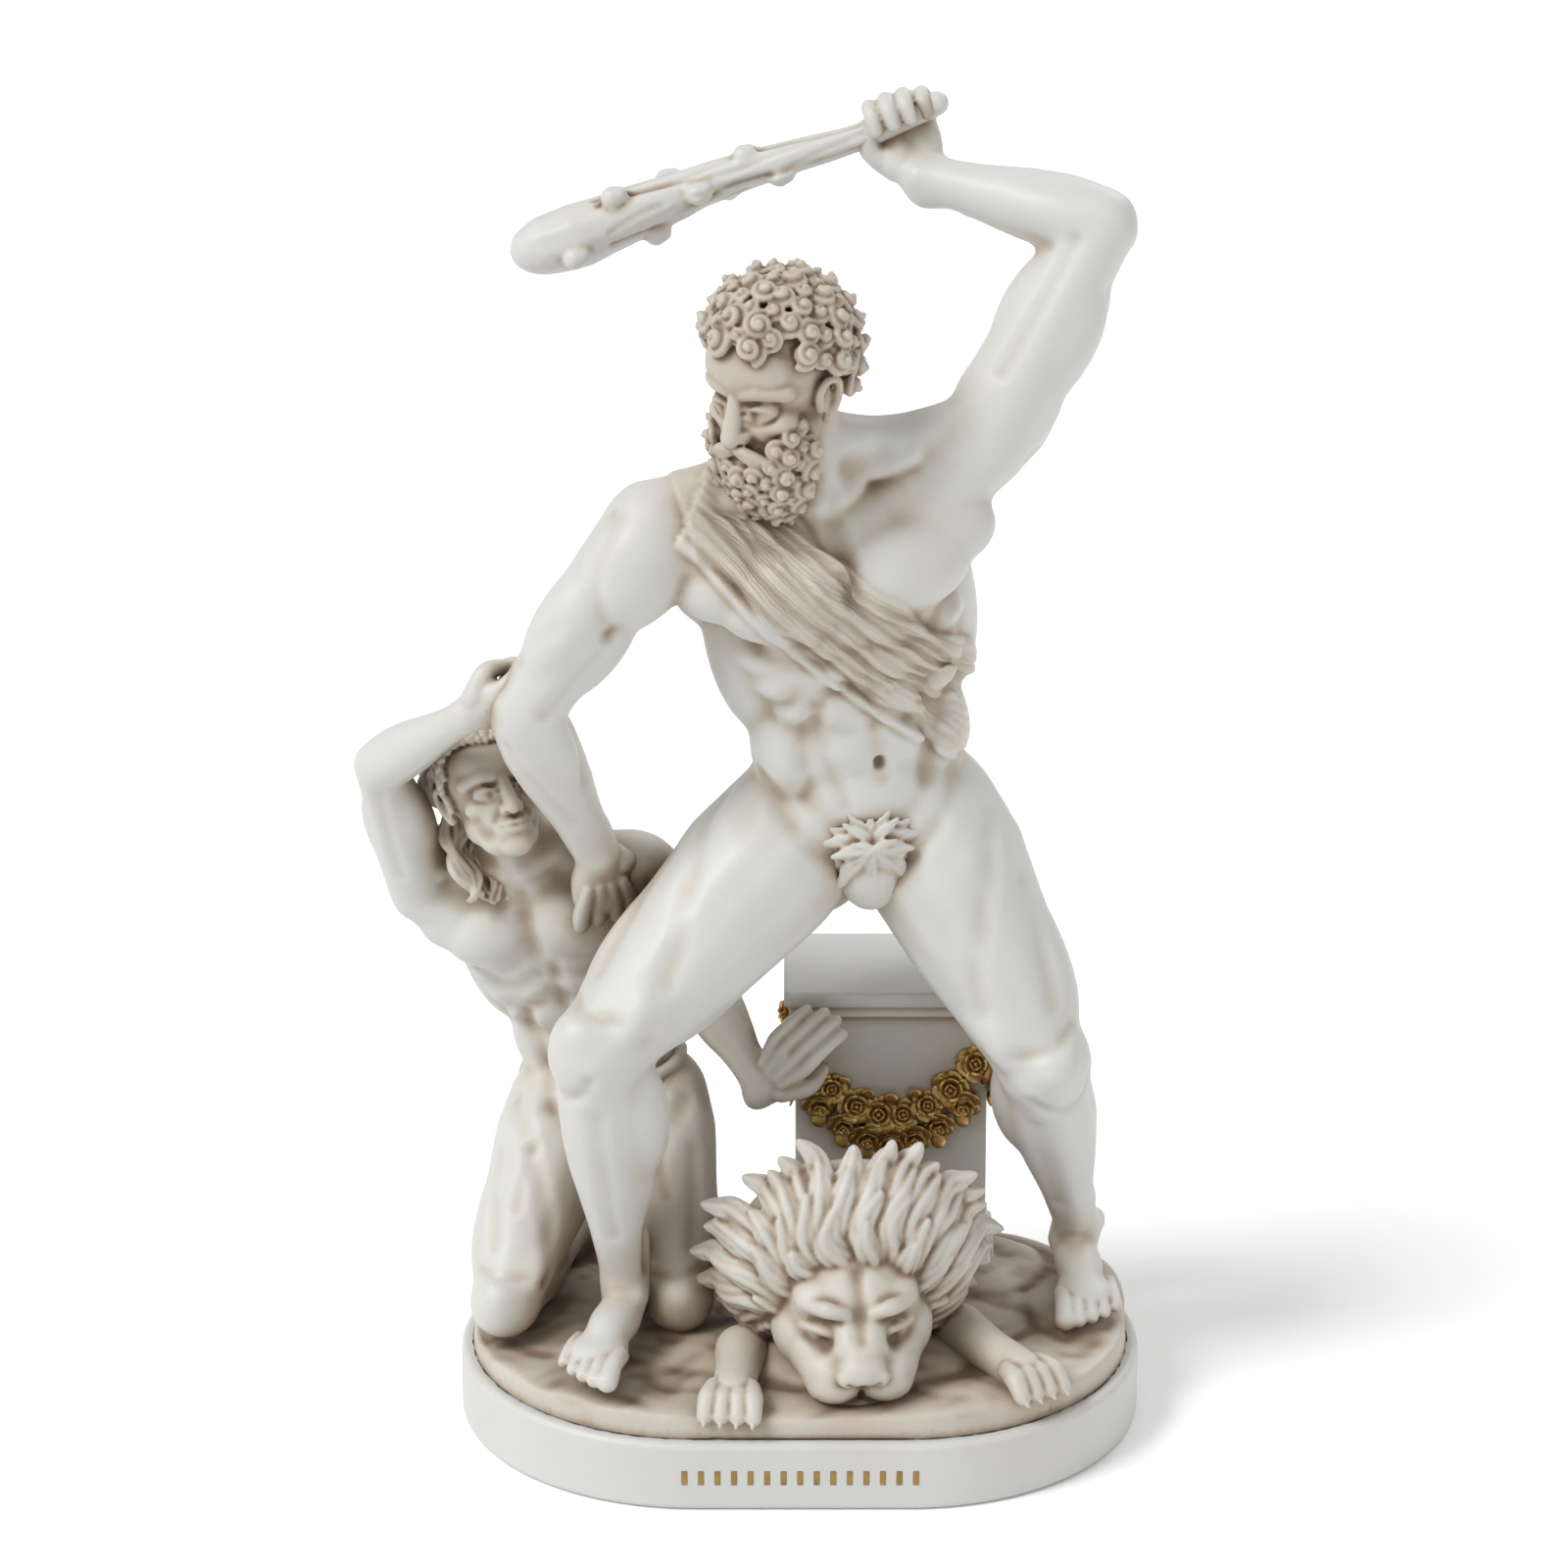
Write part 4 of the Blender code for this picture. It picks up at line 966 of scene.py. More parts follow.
# Lines of the face: (points as left, front, up; radii), set on both sides
FACE_LINES = (
    (
        ((2.5, 11.4, -2.1), (4.2, 12.2, -1.0), (6.2, 11.9, -0.9), (8.0, 10.3, -2.1)),
        (0.4, 0.55, 0.55, 0.4),
    ),
    (
        ((2.6, 11.3, -2.4), (4.3, 11.7, -3.5), (6.3, 11.3, -3.4), (7.9, 10.1, -2.3)),
        (0.35, 0.4, 0.4, 0.35),
    ),
    (((1.6, 11.1, 2.0), (4.8, 10.7, 2.8), (9.4, 7.4, 1.4)), (2.2, 2.4, 2.0)),
    (((0, 14.6, -10.8), (1.6, 14.5, -10.7), (3.5, 13.0, -11.4)), (0.75, 0.8, 0.45)),
    (((0, 14.2, -12.5), (1.7, 14.0, -12.4), (3.3, 12.9, -11.8)), (0.95, 0.85, 0.45)),
    (
        (
            (12.4, 2.0, -4.6),
            (13.6, 2.2, -0.6),
            (14.4, 0.2, 1.6),
            (14.6, -2.4, 0.2),
            (13.8, -2.2, -3.8),
            (12.6, 0.4, -7.2),
        ),
        (0.9, 0.9, 0.95, 0.95, 1.0, 1.25),
    ),
)


def face_details(clay, frame, scale):
    """Eyeballs, lids, brows, nose, lips and ears."""
    axes = (frame.left, frame.front, frame.up)

    def at(left, front, up):
        return frame.point(left * scale, front * scale, up * scale)

    bridge = [at(0, 11.4, 3.0), at(0, 12.8, -0.6), at(0, 14.2, -4.0), at(0, 15.6, -6.6)]
    clay.rope(bridge, [1.5 * scale, 1.7 * scale, 2.1 * scale, 2.3 * scale])
    for side in (-1, 1):
        clay.knobs(np.array([at(side * 5.2, 9.1, -2.1)]), np.array([3.0 * scale]))
        clay.ball(at(side * 2.0, 14.0, -7.0), [1.6 * scale, 2.0 * scale, 1.5 * scale], axes)
        clay.ball(at(side * 1.5, 11.4, -4.6), [2.5 * scale, 2.4 * scale, 4.6 * scale], axes)
        clay.ball(at(side * 12.7, 0.2, -2.4), [0.9 * scale, 2.2 * scale, 3.6 * scale], axes)
        for line, radii in FACE_LINES:
            points = [at(side * left, front, up) for left, front, up in line]
            clay.rope(points, [radius * scale for radius in radii])


# Hollows of the face: ((left, up) pairs, radius, height), set on both sides
FACE_HOLLOWS = (
    (((1.5, -8.2), (1.9, -8.1)), 0.8, -0.8),
    (((3.4, -6.8), (4.8, -9.4)), 1.6, -0.4),
    (((2.2, -2.0), (2.5, -2.0)), 0.8, -0.5),
    (((2.6, -3.4), (5.0, -4.8), (7.6, -3.6)), 0.8, -0.2),
    (((0.0, -11.7), (2.0, -11.6), (3.8, -11.5)), 0.7, -0.35),
)
LIP_HOLLOW = ((((0, -8.8), (0, -10.0)), 0.9, -0.3),)
# The sockets and the cheeks, pressed in before the features come on
SKULL_HOLLOWS = (
    (((4.4, -1.2), (6.2, -1.4)), 4.2, -1.9),
    (((8.5, -9.0), (7.0, -13.0)), 4.0, -0.9),
)


def face_carving(obj, frame, scale):
    """Nostrils, the line between the lips and the hollows round the eyes."""
    skin = Skin(obj)
    skin.carve(frame, LIP_HOLLOW, scale, MIDDLE)
    skin.carve(frame, FACE_HOLLOWS, scale)
    skin.finish()


def head_core(figure, name, grow=1.0):
    """Skull, neck and face, each part sunk softly into the next."""
    scale = size_of(figure) * grow
    frame = head_frame(figure)
    clay = Clay()
    clay.masses(frame, SKULL_MASSES, scale)
    neck = joint(figure, "neck")
    thick = size_of(figure)
    clay.rope([neck, lerp(neck, frame.origin, 0.6)], [9.8 * thick, 9.2 * thick])
    core = fused(clay, name, SKULL_VOXEL, SKULL_SOFTENING)
    skin = Skin(core)
    skin.carve(frame, SKULL_HOLLOWS, scale)
    skin.finish()
    face = Clay()
    face.piece(core)
    face_details(face, frame, scale)
    made = fused(face, name, HEAD_VOXEL, FACE_SOFTENING)
    face_carving(made, frame, scale)
    return made, frame, scale


# The cap of curls and the beard: middle and radii of each form, and its curls' radius
CURL_CAP = ((0, -2.4, 3.6), (14.2, 16.0, 15.4), 3.0)
BEARD = ((0, 5.4, -12.6), (10.4, 9.2, 15.0), 2.6)


def curls(clay, frame, scale, form, count, left_out):
    """Snail curls spread over a form of the head, where left_out allows."""
    middle, radii, size = form
    axes = (frame.left, frame.front, frame.up)
    middle_point = frame.point(*(place * scale for place in middle))
    clay.ball(middle_point, [(radius - 0.9) * scale for radius in radii], axes)
    for index, heading in enumerate(spread(count)):
        if left_out(*heading):
            continue
        offset = Vector(way * radius * scale for way, radius in zip(heading, radii))
        centre = middle_point + axes[0] * offset[0] + axes[1] * offset[1] + axes[2] * offset[2]
        outward = sum((axis * way for axis, way in zip(axes, heading)), Vector())
        outward += frame.up * 0.22 * math.sin(index * 1.3)
        outward += frame.left * 0.22 * math.cos(index * 2.1)
        snail(clay, centre, outward, (size + 0.55 * math.sin(index * 2.7)) * scale, index * 1.7)


# A moustache's strand: (left, front, how far each next strand lies back, up, how far it
# lies lower, radius)
MOUSTACHE = (
    (0.7, 15.6, 0.2, -9.0, 0.45, 0.9),
    (3.4, 15.3, 0.2, -9.6, 0.9, 1.1),
    (6.2, 13.8, 0.3, -11.6, 0.9, 1.0),
    (7.8, 12.8, 0.3, -14.4, 0.9, 0.6),
)
CAP_CURLS = 190
BEARD_CURLS = 180


def hero_head():
    """Head with a cap of snail curls, a moustache and a full curly beard."""
    core, frame, scale = head_core(HERO, "hero_head", 1.04)
    clay = Clay()
    clay.piece(core)

    def not_hair(left, front, up):
        over_face = front > 0.40 and up < 0.50
        by_ear = front > -0.22 and up < -0.02
        return over_face or up < -0.50 or by_ear

    def not_beard(left, front, up):
        behind = front < -0.10
        by_mouth = abs(left) < 0.46 and up > 0.02
        by_eye = abs(left) < 0.74 and up > 0.22
        return behind or up > 0.50 or by_mouth or by_eye

    curls(clay, frame, scale, CURL_CAP, CAP_CURLS, not_hair)
    curls(clay, frame, scale, BEARD, BEARD_CURLS, not_beard)
    for side in (-1, 1):
        for strand in range(3):
            points, radii = [], []
            for left, front, back, up, fall, radius in MOUSTACHE:
                place = (side * left, front - back * strand, up - fall * strand)
                points.append(frame.point(*(way * scale for way in place)))
                radii.append(radius * scale)
            clay.rope(points, radii)
    return fused(clay, "hero_head", HEAD_VOXEL, 1)


def wavy_lock(clay, points, middle, width, wave, turns=7.5):
    """A lock of hair: three strands side by side that sway together and close at the tip."""
    radius = width * 0.46
    curve, _ = smooth_line(points, [radius] * len(points), 0.45)
    share = np.linspace(0, 1, len(curve))
    along = np.gradient(curve, axis=0)
    along /= np.linalg.norm(along, axis=1)[:, None]
    outward = curve - np.array(middle)
    outward -= along * (outward * along).sum(1)[:, None]
    outward /= np.linalg.norm(outward, axis=1)[:, None]
    side = np.cross(along, outward)
    open_up = np.sin(math.pi * np.clip(0.22 + share * 0.78, 0, 1)) ** 0.7
    for place in (-1, 0, 1):
        sway = wave * np.sin(share * turns + place * 0.5)
        shift = place * width * 0.62 * open_up + sway
        lift = width * 0.25 * (1 - place * place)
        line = curve + side * shift[:, None] + outward * lift
        clay.knobs(line, radius * (0.45 + 0.55 * open_up))


def scalp(frame, scale, heading, lift):
    """A point that lies lift above the scalp, in a direction of the head."""
    left, front, up = (
        middle + (radius + lift) * way
        for middle, radius, way in zip(SCALP_MIDDLE, SCALP_RADII, heading)
    )
    return frame.point(left * scale, front * scale, up * scale)


def swept_lock(frame, scale, turn, wave, lift):
    """Points of a lock that is combed back from the brow and hangs behind the neck."""
    side = math.sin(turn)
    brow = Vector((side, 1.45 - 1.15 * abs(side), 0.80 * math.cos(turn) + 0.12)).normalized()
    nape = Vector((0.82 * side, -0.74, -0.52)).normalized()
    points = []
    for step in range(6):
        share = step / 5
        heading = brow.lerp(nape, share) + Vector((0, -0.30, 0.35)) * math.sin(share * math.pi)
        heading = heading.normalized() + Vector((wave, 0, 0)) * math.sin(share * 7.0)
        points.append(scalp(frame, scale, heading, lift * (0.3 + 0.7 * math.sin(share * 2.4))))
    end = points[-1]
    fall = 6.0 * scale
    for number, forwards in ((1, -0.6), (2, 0.2), (3, 1.6), (4, 2.6)):
        sway = frame.left * wave * 26 * math.sin(number * 1.7)
        points.append(end - frame.up * fall * number + frame.front * forwards + sway)
    return points


# Layers of the kneeling man's locks: (lift over the scalp, how many); their fan to each
# side, width, sway and how often they sway
SWEPT_LAYERS = ((0.2, 21), (1.4, 18))
SWEPT_FAN = 1.75
SWEPT_WIDTH = 2.1
SWEPT_SWAY = 1.5
SWEPT_WAVES = 15.0


def foe_head():
    """Clean-shaven head with long wavy hair, combed back and falling behind."""
    core, frame, scale = head_core(FOE, "kneeling_head", 1.04)
    clay = Clay()
    clay.piece(core)
    middle = frame.point(0, -2 * scale, 0)
    for layer, (lift, locks) in enumerate(SWEPT_LAYERS):
        for index in range(locks):
            turn = lerp(-SWEPT_FAN, SWEPT_FAN, (index + 0.5 * layer) / (locks - 1))
            wave = 0.10 * math.sin(index * 1.3 + layer * 1.7) + 0.02
            points = swept_lock(frame, scale, turn, wave, lift)
            wavy_lock(clay, points, middle, SWEPT_WIDTH * scale, SWEPT_SWAY * scale, SWEPT_WAVES)
    return fused(clay, "kneeling_head", HEAD_VOXEL, 1)


def club():
    """A knotty club that grows from the grip to its round head."""
    grip, end = Vector(CLUB_GRIP), Vector(CLUB_END)
    clay = Clay()
    shares = [share for share, _ in CLUB_LINE]
    radii = [radius for _, radius in CLUB_LINE]
    axis = (end - grip).normalized()
    across = axis.orthogonal()
    bent = [lerp(grip, end, share) + across * math.sin(share * 9) * 0.6 for share in shares]
    clay.rope(bent, radii, 0.25)
    for index in range(KNOT_COUNT):
        share = lerp(*KNOT_SPAN, index / (KNOT_COUNT - 1))
        turned = Matrix.Rotation(index * 2.4, 3, axis) @ across
        radius = float(np.interp(share, shares, radii))
        spot = lerp(grip, end, share) + turned * (radius - 1.7)
        clay.knobs(np.array([spot, spot - axis * 1.6]), np.array([2.8, 2.4]))
    made = fused(clay, "club", 0.6, 5)
    skin = Skin(made)
    for index in range(BARK_LINES):
        turned = Matrix.Rotation(index * 0.53 * math.pi, 3, axis) @ across
        starts, headings = [], []
        for number in range(7):
            share = lerp(0.10, 0.80, number / 6) + 0.03 * math.sin(index * 3.1)
            sway = Matrix.Rotation(0.25 * math.sin(number * 1.3 + index), 3, axis) @ turned
            starts.append(lerp(grip, end, share) + sway * CLUB_CLEAR)
            headings.append(-sway)
        skin.stroke(skin.landed(starts, headings), 1.4, -0.4)
    return skin.finish()


def lion_frame():
    left = Vector((1, 0.12, 0)).normalized()
    front = Vector((0.10, -0.90, -0.34)).normalized()
    return Frame(LION_PLACE, left, front, left.cross(front) * -1)


def mane_point(face, angle, reach, lift):
    """A point lift above the mane's dome; reach is 0 at its middle and 1 at its rim."""
    left, front, up, wide, deep, tall = MANE_DOME
    bulge = math.sqrt(1 - reach * reach) if reach < 1 else 1 - reach
    place = face.point(
        (left + (wide + lift) * reach * math.cos(angle)) * LION_SCALE,
        (front + (deep + lift) * bulge) * LION_SCALE,
        (up + (tall + lift) * reach * math.sin(angle)) * LION_SCALE,
    )
    place.z = max(place.z, 4.0)
    return place


# Lines of the lion's face: (points as left, front, up; radii), set on both sides
LION_LINES = (
    (
        ((4.0, 11.2, 2.4), (5.6, 12.0, 4.4), (7.6, 11.2, 4.8), (9.8, 8.6, 3.4)),
        (0.7, 1.1, 1.1, 0.7),
    ),
    (((4.0, 11.2, 2.2), (6.6, 11.6, 1.7), (9.6, 8.8, 3.0)), (0.6, 0.8, 0.6)),
    (((2.4, 11.2, 8.0), (5.8, 10.6, 8.8), (9.8, 6.8, 6.8)), (1.5, 2.2, 1.5)),
)


def lion_features(clay, at):
    """Eyes, lids, brows, nostril wings, lip and whisker pads."""
    for side in (-1, 1):
        clay.knobs(np.array([at(side * 6.7, 9.5, 3.2)]), np.array([3.0]))
        clay.ball(at(side * 2.7, 20.2, 1.4), (2.8, 2.2, 2.4), UPRIGHT)
        for line, radii in LION_LINES:
            clay.rope([at(side * left, front, up) for left, front, up in line], radii)
        for row in range(3):
            for number in range(3):
                left = side * (4.0 + number * 1.6)
                spot = at(left, 20.0 - number * 1.2 - row * 0.3, -1.6 - row * 1.5)
                clay.knobs(np.array([spot]), np.array([0.6]))
    clay.rope([at(-8.4, 11.5, -7.8), at(0, 18.2, -7.2), at(8.4, 11.5, -7.8)], [1.0, 1.8, 1.0])


# Rows of locks on the mane's dome: (reach at the root, reach at the tip, locks)
MANE_FLOW = ((0.78, 1.14, 20), (0.62, 1.03, 17), (0.47, 0.90, 14), (0.34, 0.74, 10))
MANE_WIDTH = 3.4
# Hollows of the lion's face: ((left, up) pairs, radius, height), set on both sides
LION_HOLLOWS = (
    (((6.0, 3.6), (7.6, 3.4)), 4.6, -1.6),
    (((3.6, 1.5), (3.4, -0.5)), 3.4, -0.9),
    (((0, 12), (0, 9.5), (0, 6.5)), 3.4, -0.6),
    (((9.0, -1.0), (10.0, -5.0)), 4.0, -0.6),
)
# The split of its upper lip; its lips and nostrils
LION_LIP = ((((0, 0.4), (0, -5.2)), 1.0, -1.0),)
LION_MOUTH = (
    (((0, -5.2), (3.4, -6.2), (7.6, -5.4)), 1.1, -1.3),
    (((1.7, 0.2), (2.7, 1.0)), 1.0, -1.4),
)


def lion_skin():
    """The slain lion's head with its mane, and two limp paws."""
    face = lion_frame()
    core = Clay()
    core.masses(face, LION_MASSES + (MANE_DOME,), LION_SCALE)
    for root, tip in PAWS:
        root, tip = Vector(root), Vector(tip)
        core.rope([root, lerp(root, tip, 0.5), tip], [7.0, 5.6, 5.8], 0.25)
    soft = fused(core, "lion_skin", 0.8, 18)

    def at(left, front, up):
        return face.point(left * LION_SCALE, front * LION_SCALE, up * LION_SCALE)

    skin = Skin(soft)
    skin.carve(face, LION_HOLLOWS, LION_SCALE, thick=1)
    skin.finish()
    features = Clay()
    features.piece(soft)
    lion_features(features, at)
    smooth_face = fused(features, "lion_skin", LION_VOXEL, FACE_SOFTENING)
    clay = Clay()
    clay.piece(smooth_face)
    middle = at(0, -16, 0)
    for root_reach, tip_reach, count in MANE_FLOW:
        for index in range(count):
            angle = lerp(-0.62, math.pi + 0.62, (index + 0.5 * (count % 2)) / (count - 1))
            length = tip_reach + 0.05 * math.sin(index * 2.3 + count)
            points = []
            for step in range(7):
                share = step / 6
                reach = lerp(root_reach, length, share)
                swing = 0.13 * math.sin(reach * 8.0 + angle * 1.5) + 0.03 * math.sin(index * 1.9)
                points.append(mane_point(face, angle + swing, reach, lerp(0.2, 2.4, share)))
            wavy_lock(clay, points, middle, MANE_WIDTH, 0.35)
    for root, tip in PAWS:
        paw_toes(clay, Vector(root), Vector(tip))
    skin = Skin(fused(clay, "lion_skin", LION_VOXEL, 1))
    skin.carve(face, LION_LIP, LION_SCALE, MIDDLE, thick=1)
    skin.carve(face, LION_MOUTH, LION_SCALE, thick=1)
    return skin.finish()


# Places along a toe of a paw: (forwards, share of its sideways place, up)
PAW_TOE = ((0.0, 0.8, 1.5), (4.5, 1.0, 1.2), (8.0, 1.1, -1.6))


def paw_toes(clay, root, tip):
    """Four knuckled toes with claws."""
    along = (tip - root).normalized()
    across = along.cross(Vector((0, 0, 1)))
    for toe in range(4):
        shift = across * (toe - 1.5) * 3.5
        points = [
            tip + along * forwards + shift * spread_out + Vector((0, 0, rise))
            for forwards, spread_out, rise in PAW_TOE
        ]
        clay.rope(points, [2.6, 2.7, 2.1])
        clay.rope([points[2], points[2] + along * 2.6 - Vector((0, 0, 1.4))], [1.1, 0.5])


def oval_outline(length, depth, corners):
    """A lengthened circle: straight sides closed by half rounds."""
    radius = depth / 2
    shift = length / 2 - radius
    points = []
    for index in range(corners):
        angle = 2 * math.pi * (index + 0.5) / corners
        side = shift if math.cos(angle) > 0 else -shift
        points.append((side + radius * math.cos(angle), radius * math.sin(angle)))
    return points


# Corners of the ground's rim
RIM_CORNERS = 160
# Swells of the ground: (reach, height)
GROUND_SWELLS = ((31.0, 0.9), (17.0, 0.6), (8.5, 0.35), (4.3, 0.15))


def ground():
    """The rough ground, its rim set in from the plinth's edge."""
    length = (PLINTH_LENGTH - 2 * GROUND_INSET) / STEP
    depth = (PLINTH_DEPTH - 2 * GROUND_INSET) / STEP
    thickness = GROUND_THICKNESS / STEP
    outline = oval_outline(length, depth, RIM_CORNERS)
    gap = SEAM_GAP / STEP
    clay = Clay()
    low = [(x, y, -6.0) for x, y in outline]
    high = [(x * 0.985, y * 0.98, thickness) for x, y in outline]
    lower, upper = list(range(RIM_CORNERS)), list(range(RIM_CORNERS, 2 * RIM_CORNERS))
    faces = [lower[::-1], upper]
    for index in range(RIM_CORNERS):
        after = (index + 1) % RIM_CORNERS
        faces.append([index, after, upper[after], upper[index]])
    loops = np.array([corner for face in faces for corner in face])
    clay.add(np.array(low + high), loops, np.array([len(face) for face in faces]))
    for x, y, z, *radii in ROCKS:
        clay.ball((x, y, z), radii, UPRIGHT)
    made = fused(clay, "ground", 0.9, 6)
    skin = Skin(made)
    places = skin.places
    top = np.clip((skin.normals[:, 2] - 0.5) * 3, 0, 1)
    swell = np.zeros(len(places))
    for reach, strength in GROUND_SWELLS:
        wave_x = np.sin(places[:, 0] / reach * 2.1 + np.sin(places[:, 1] / reach * 1.3) * 1.4)
        wave_y = np.sin(places[:, 1] / reach * 2.7 + np.cos(places[:, 0] / reach * 1.7) * 1.2)
        swell += strength * wave_x * wave_y
    skin.shift += swell * top
    skin.finish()
    applied(made, "SMOOTH", factor=0.5, iterations=2)
    corners = read(made.data.vertices, "co", 3)
    corners[:, 2] = np.maximum(corners[:, 2], gap)
    made.data.vertices.foreach_set("co", corners.ravel())
    return made


def altar_plan():
    """The altar's middle, and half its width and depth, in steps."""
    sizes = (ALTAR_CENTRE_X, ALTAR_CENTRE_Y, ALTAR_WIDTH / 2, ALTAR_DEPTH / 2)
    return (size / STEP for size in sizes)


def make_altar():
    """The square altar with mouldings at its foot and top, its edges eased."""
    x, y, half_width, half_depth = altar_plan()
    height = ALTAR_HEIGHT / STEP
    clay = Clay()
    for grow, low_share, low_steps, high_share, high_steps in ALTAR_COURSES:
        low = height * low_share + low_steps
        high = height * high_share + high_steps
        size = (2 * (half_width + grow), 2 * (half_depth + grow), high - low)
        clay.piece(rounded_block((x, y, (low + high) / 2), size, 0.6, 3))
    return fused(clay, "altar", 0.55, 1)


def garland_points():
    """Points along the swag of roses round the altar's front and sides."""
    x, y, half_width, half_depth = altar_plan()
    top = ALTAR_HEIGHT / STEP * GARLAND_LEVEL
    drop = GARLAND_DROP / STEP
    corners = [
        Vector((x + half_width * sideways, y + half_depth * backwards, top))
        for sideways, backwards in ((-1, 1), (-1, -1), (1, -1), (1, 1))
    ]
    points = []
    for start, end in zip(corners, corners[1:]):
        on_side = abs(end.x - start.x) < 1
        roses = SIDE_ROSES if on_side else FRONT_ROSES
        way = (end - start).normalized().cross(Vector((0, 0, 1)))
        for index in range(roses):
            share = index / roses
            sag = drop * 4 * share * (1 - share) * (0.5 if on_side else 1.0)
            points.append((lerp(start, end, share) - Vector((0, 0, sag)), way))
    points.append((corners[-1], way))
    return points


# Rings of petals: (how far out, petals, how far raised, tilt from the rose's plane)
ROSE_RINGS = ((0.66, 6, 0.02, 0.25), (0.42, 5, 0.26, 0.75), (0.20, 4, 0.42, 1.15))
# The rose's heart and the base behind it: (how far raised, radius, depth)
ROSE_HEART = ((0.42, 0.15, 0.24), (-0.25, 0.8, 0.4))


def rose(clay, centre, outward, radius, turn):
    """A rose: three rings of cupped petals round a tight heart."""
    outward = outward.normalized()
    across = outward.orthogonal().normalized()
    other = outward.cross(across)
    for ring, (reach, petals, rise, tilt) in enumerate(ROSE_RINGS):
        for petal in range(petals):
            angle = turn + ring * 0.6 + 2 * math.pi * petal / petals
            ray = across * math.cos(angle) + other * math.sin(angle)
            side = outward.cross(ray)
            blade = ray * math.cos(tilt) + outward * math.sin(tilt)
            spot = centre + ray * radius * reach + outward * radius * rise
            size = radius * (0.46 - 0.09 * ring)
            petal_axes = (side, blade, side.cross(blade))
            clay.ball(spot, (size * 1.05, size * 0.86, radius * 0.075), petal_axes)
    axes = (across, other, outward)
    for rise, wide, deep in ROSE_HEART:
        sizes = (radius * wide, radius * wide, radius * deep)
        clay.ball(centre + outward * radius * rise, sizes, axes)


def rose_garland():
    """The swag of gilt roses, two deep, with leaves between them."""
    radius = GARLAND_THICKNESS / STEP / 2 * 0.96
    clay = Clay()
    row = garland_points()
    for index, (point, way) in enumerate(row):
        for level in (-1, 1):
            ahead = row[min(index + 1, len(row) - 1)][0]
            along = (ahead - point) * 0.5 if level > 0 else Vector()
            spot = point + along + Vector((0, 0, level * radius * 0.78)) + way * 1.2
            turned = way + Vector((0, 0, level * 0.35)) + along * 0.04 * math.sin(index * 2.1)
            size = radius * (1.0 + 0.1 * math.sin(index * 1.7 + level))
            rose(clay, spot, turned, size, index * 1.1 + level)
            tip = point + Vector((0, 0, level * radius * 1.75)) + way * 0.8
            slope = (Vector((0, 0, level)) + way * 0.3 + along * 0.1).normalized()
            across = slope.cross(way).normalized()
            leaf_axes = (across, slope, across.cross(slope))
            clay.ball(tip, (radius * 0.46, radius * 0.5, radius * 0.1), leaf_axes)
    return clay.made("rose_garland")


# Edges of the chest cloth in the chest's plane, as (left, up) pairs from the gathered
# shoulder to the other flank, and its folds
CLOTH_LOWER = ((-33, 26), (24, -48))
CLOTH_UPPER = ((-19, 40), (25, -16))
CLOTH_FOLDS = 22


def beyond(line, left, up):
    """How far places lie above and to the left of a line's run."""
    run, rise = line[1][0] - line[0][0], line[1][1] - line[0][1]
    return (run * (up - line[0][1]) - rise * (left - line[0][0])) / math.hypot(run, rise)


def chest_cloth(obj):
    """Thin cloth that clings from one shoulder over the chest to the other flank."""
    scale = size_of(HERO)
    _, _, high = trunk_frames(HERO)
    skin = Skin(obj)
    away = (skin.places - np.array(high.origin)) / scale
    left, front, up = (away @ np.array(axis) for axis in (high.left, high.front, high.up))
    wobble = 0.9 * np.sin(up * 0.31) + 0.5 * np.sin(left * 0.6 + 1)
    inside = np.minimum(beyond(CLOTH_LOWER, left, up), -beyond(CLOTH_UPPER, left, up)) + wobble
    inside = np.minimum(inside, front + 5.0)
    inside = np.minimum(inside, 31.0 - np.abs(left))
    cover = np.clip(inside / 1.6, 0, 1)
    cover = cover * cover * (3 - 2 * cover)
    skin.shift += cover * 0.8
    for index in range(CLOTH_FOLDS):
        share = index / (CLOTH_FOLDS - 1)
        start = [lerp(CLOTH_LOWER[0][axis], CLOTH_UPPER[0][axis], share) for axis in (0, 1)]
        end = [lerp(CLOTH_LOWER[1][axis], CLOTH_UPPER[1][axis], share) for axis in (0, 1)]
        places = []
        for number in range(9):
            along = number / 8
            sag = -2.6 * math.sin(along * math.pi) * (0.5 + 0.5 * math.sin(index * 1.3))
            sway = 0.5 * math.sin(along * 9 + index * 2.1)
            across = lerp(start[0], end[0], along) + sag + sway
            places.append((across, lerp(start[1], end[1], along) + sag))
        tall = 0.70 + 0.4 * math.sin(index * 2.2)
        wide = 1.45 + 0.35 * math.sin(index * 1.4)
        skin.stroke(skin.front(high, places, scale), wide, tall)
    skin.finish()
    fan = np.arctan2(up - 52.0, left + 44.0)
    store(obj.data, "cloth", cover)
    store(obj.data, "fibre", fan)


HIP_STEPS = 24
# A fold of the hip cloth's fall: (share of its sideways place, front, up, radius)
HIP_FALL = ((0.7, 14.4, 3, 1.3), (1.0, 15.6, -4, 1.5), (1.15, 14.6, -11, 1.5), (1.1, 12.4, -17, 0.9))


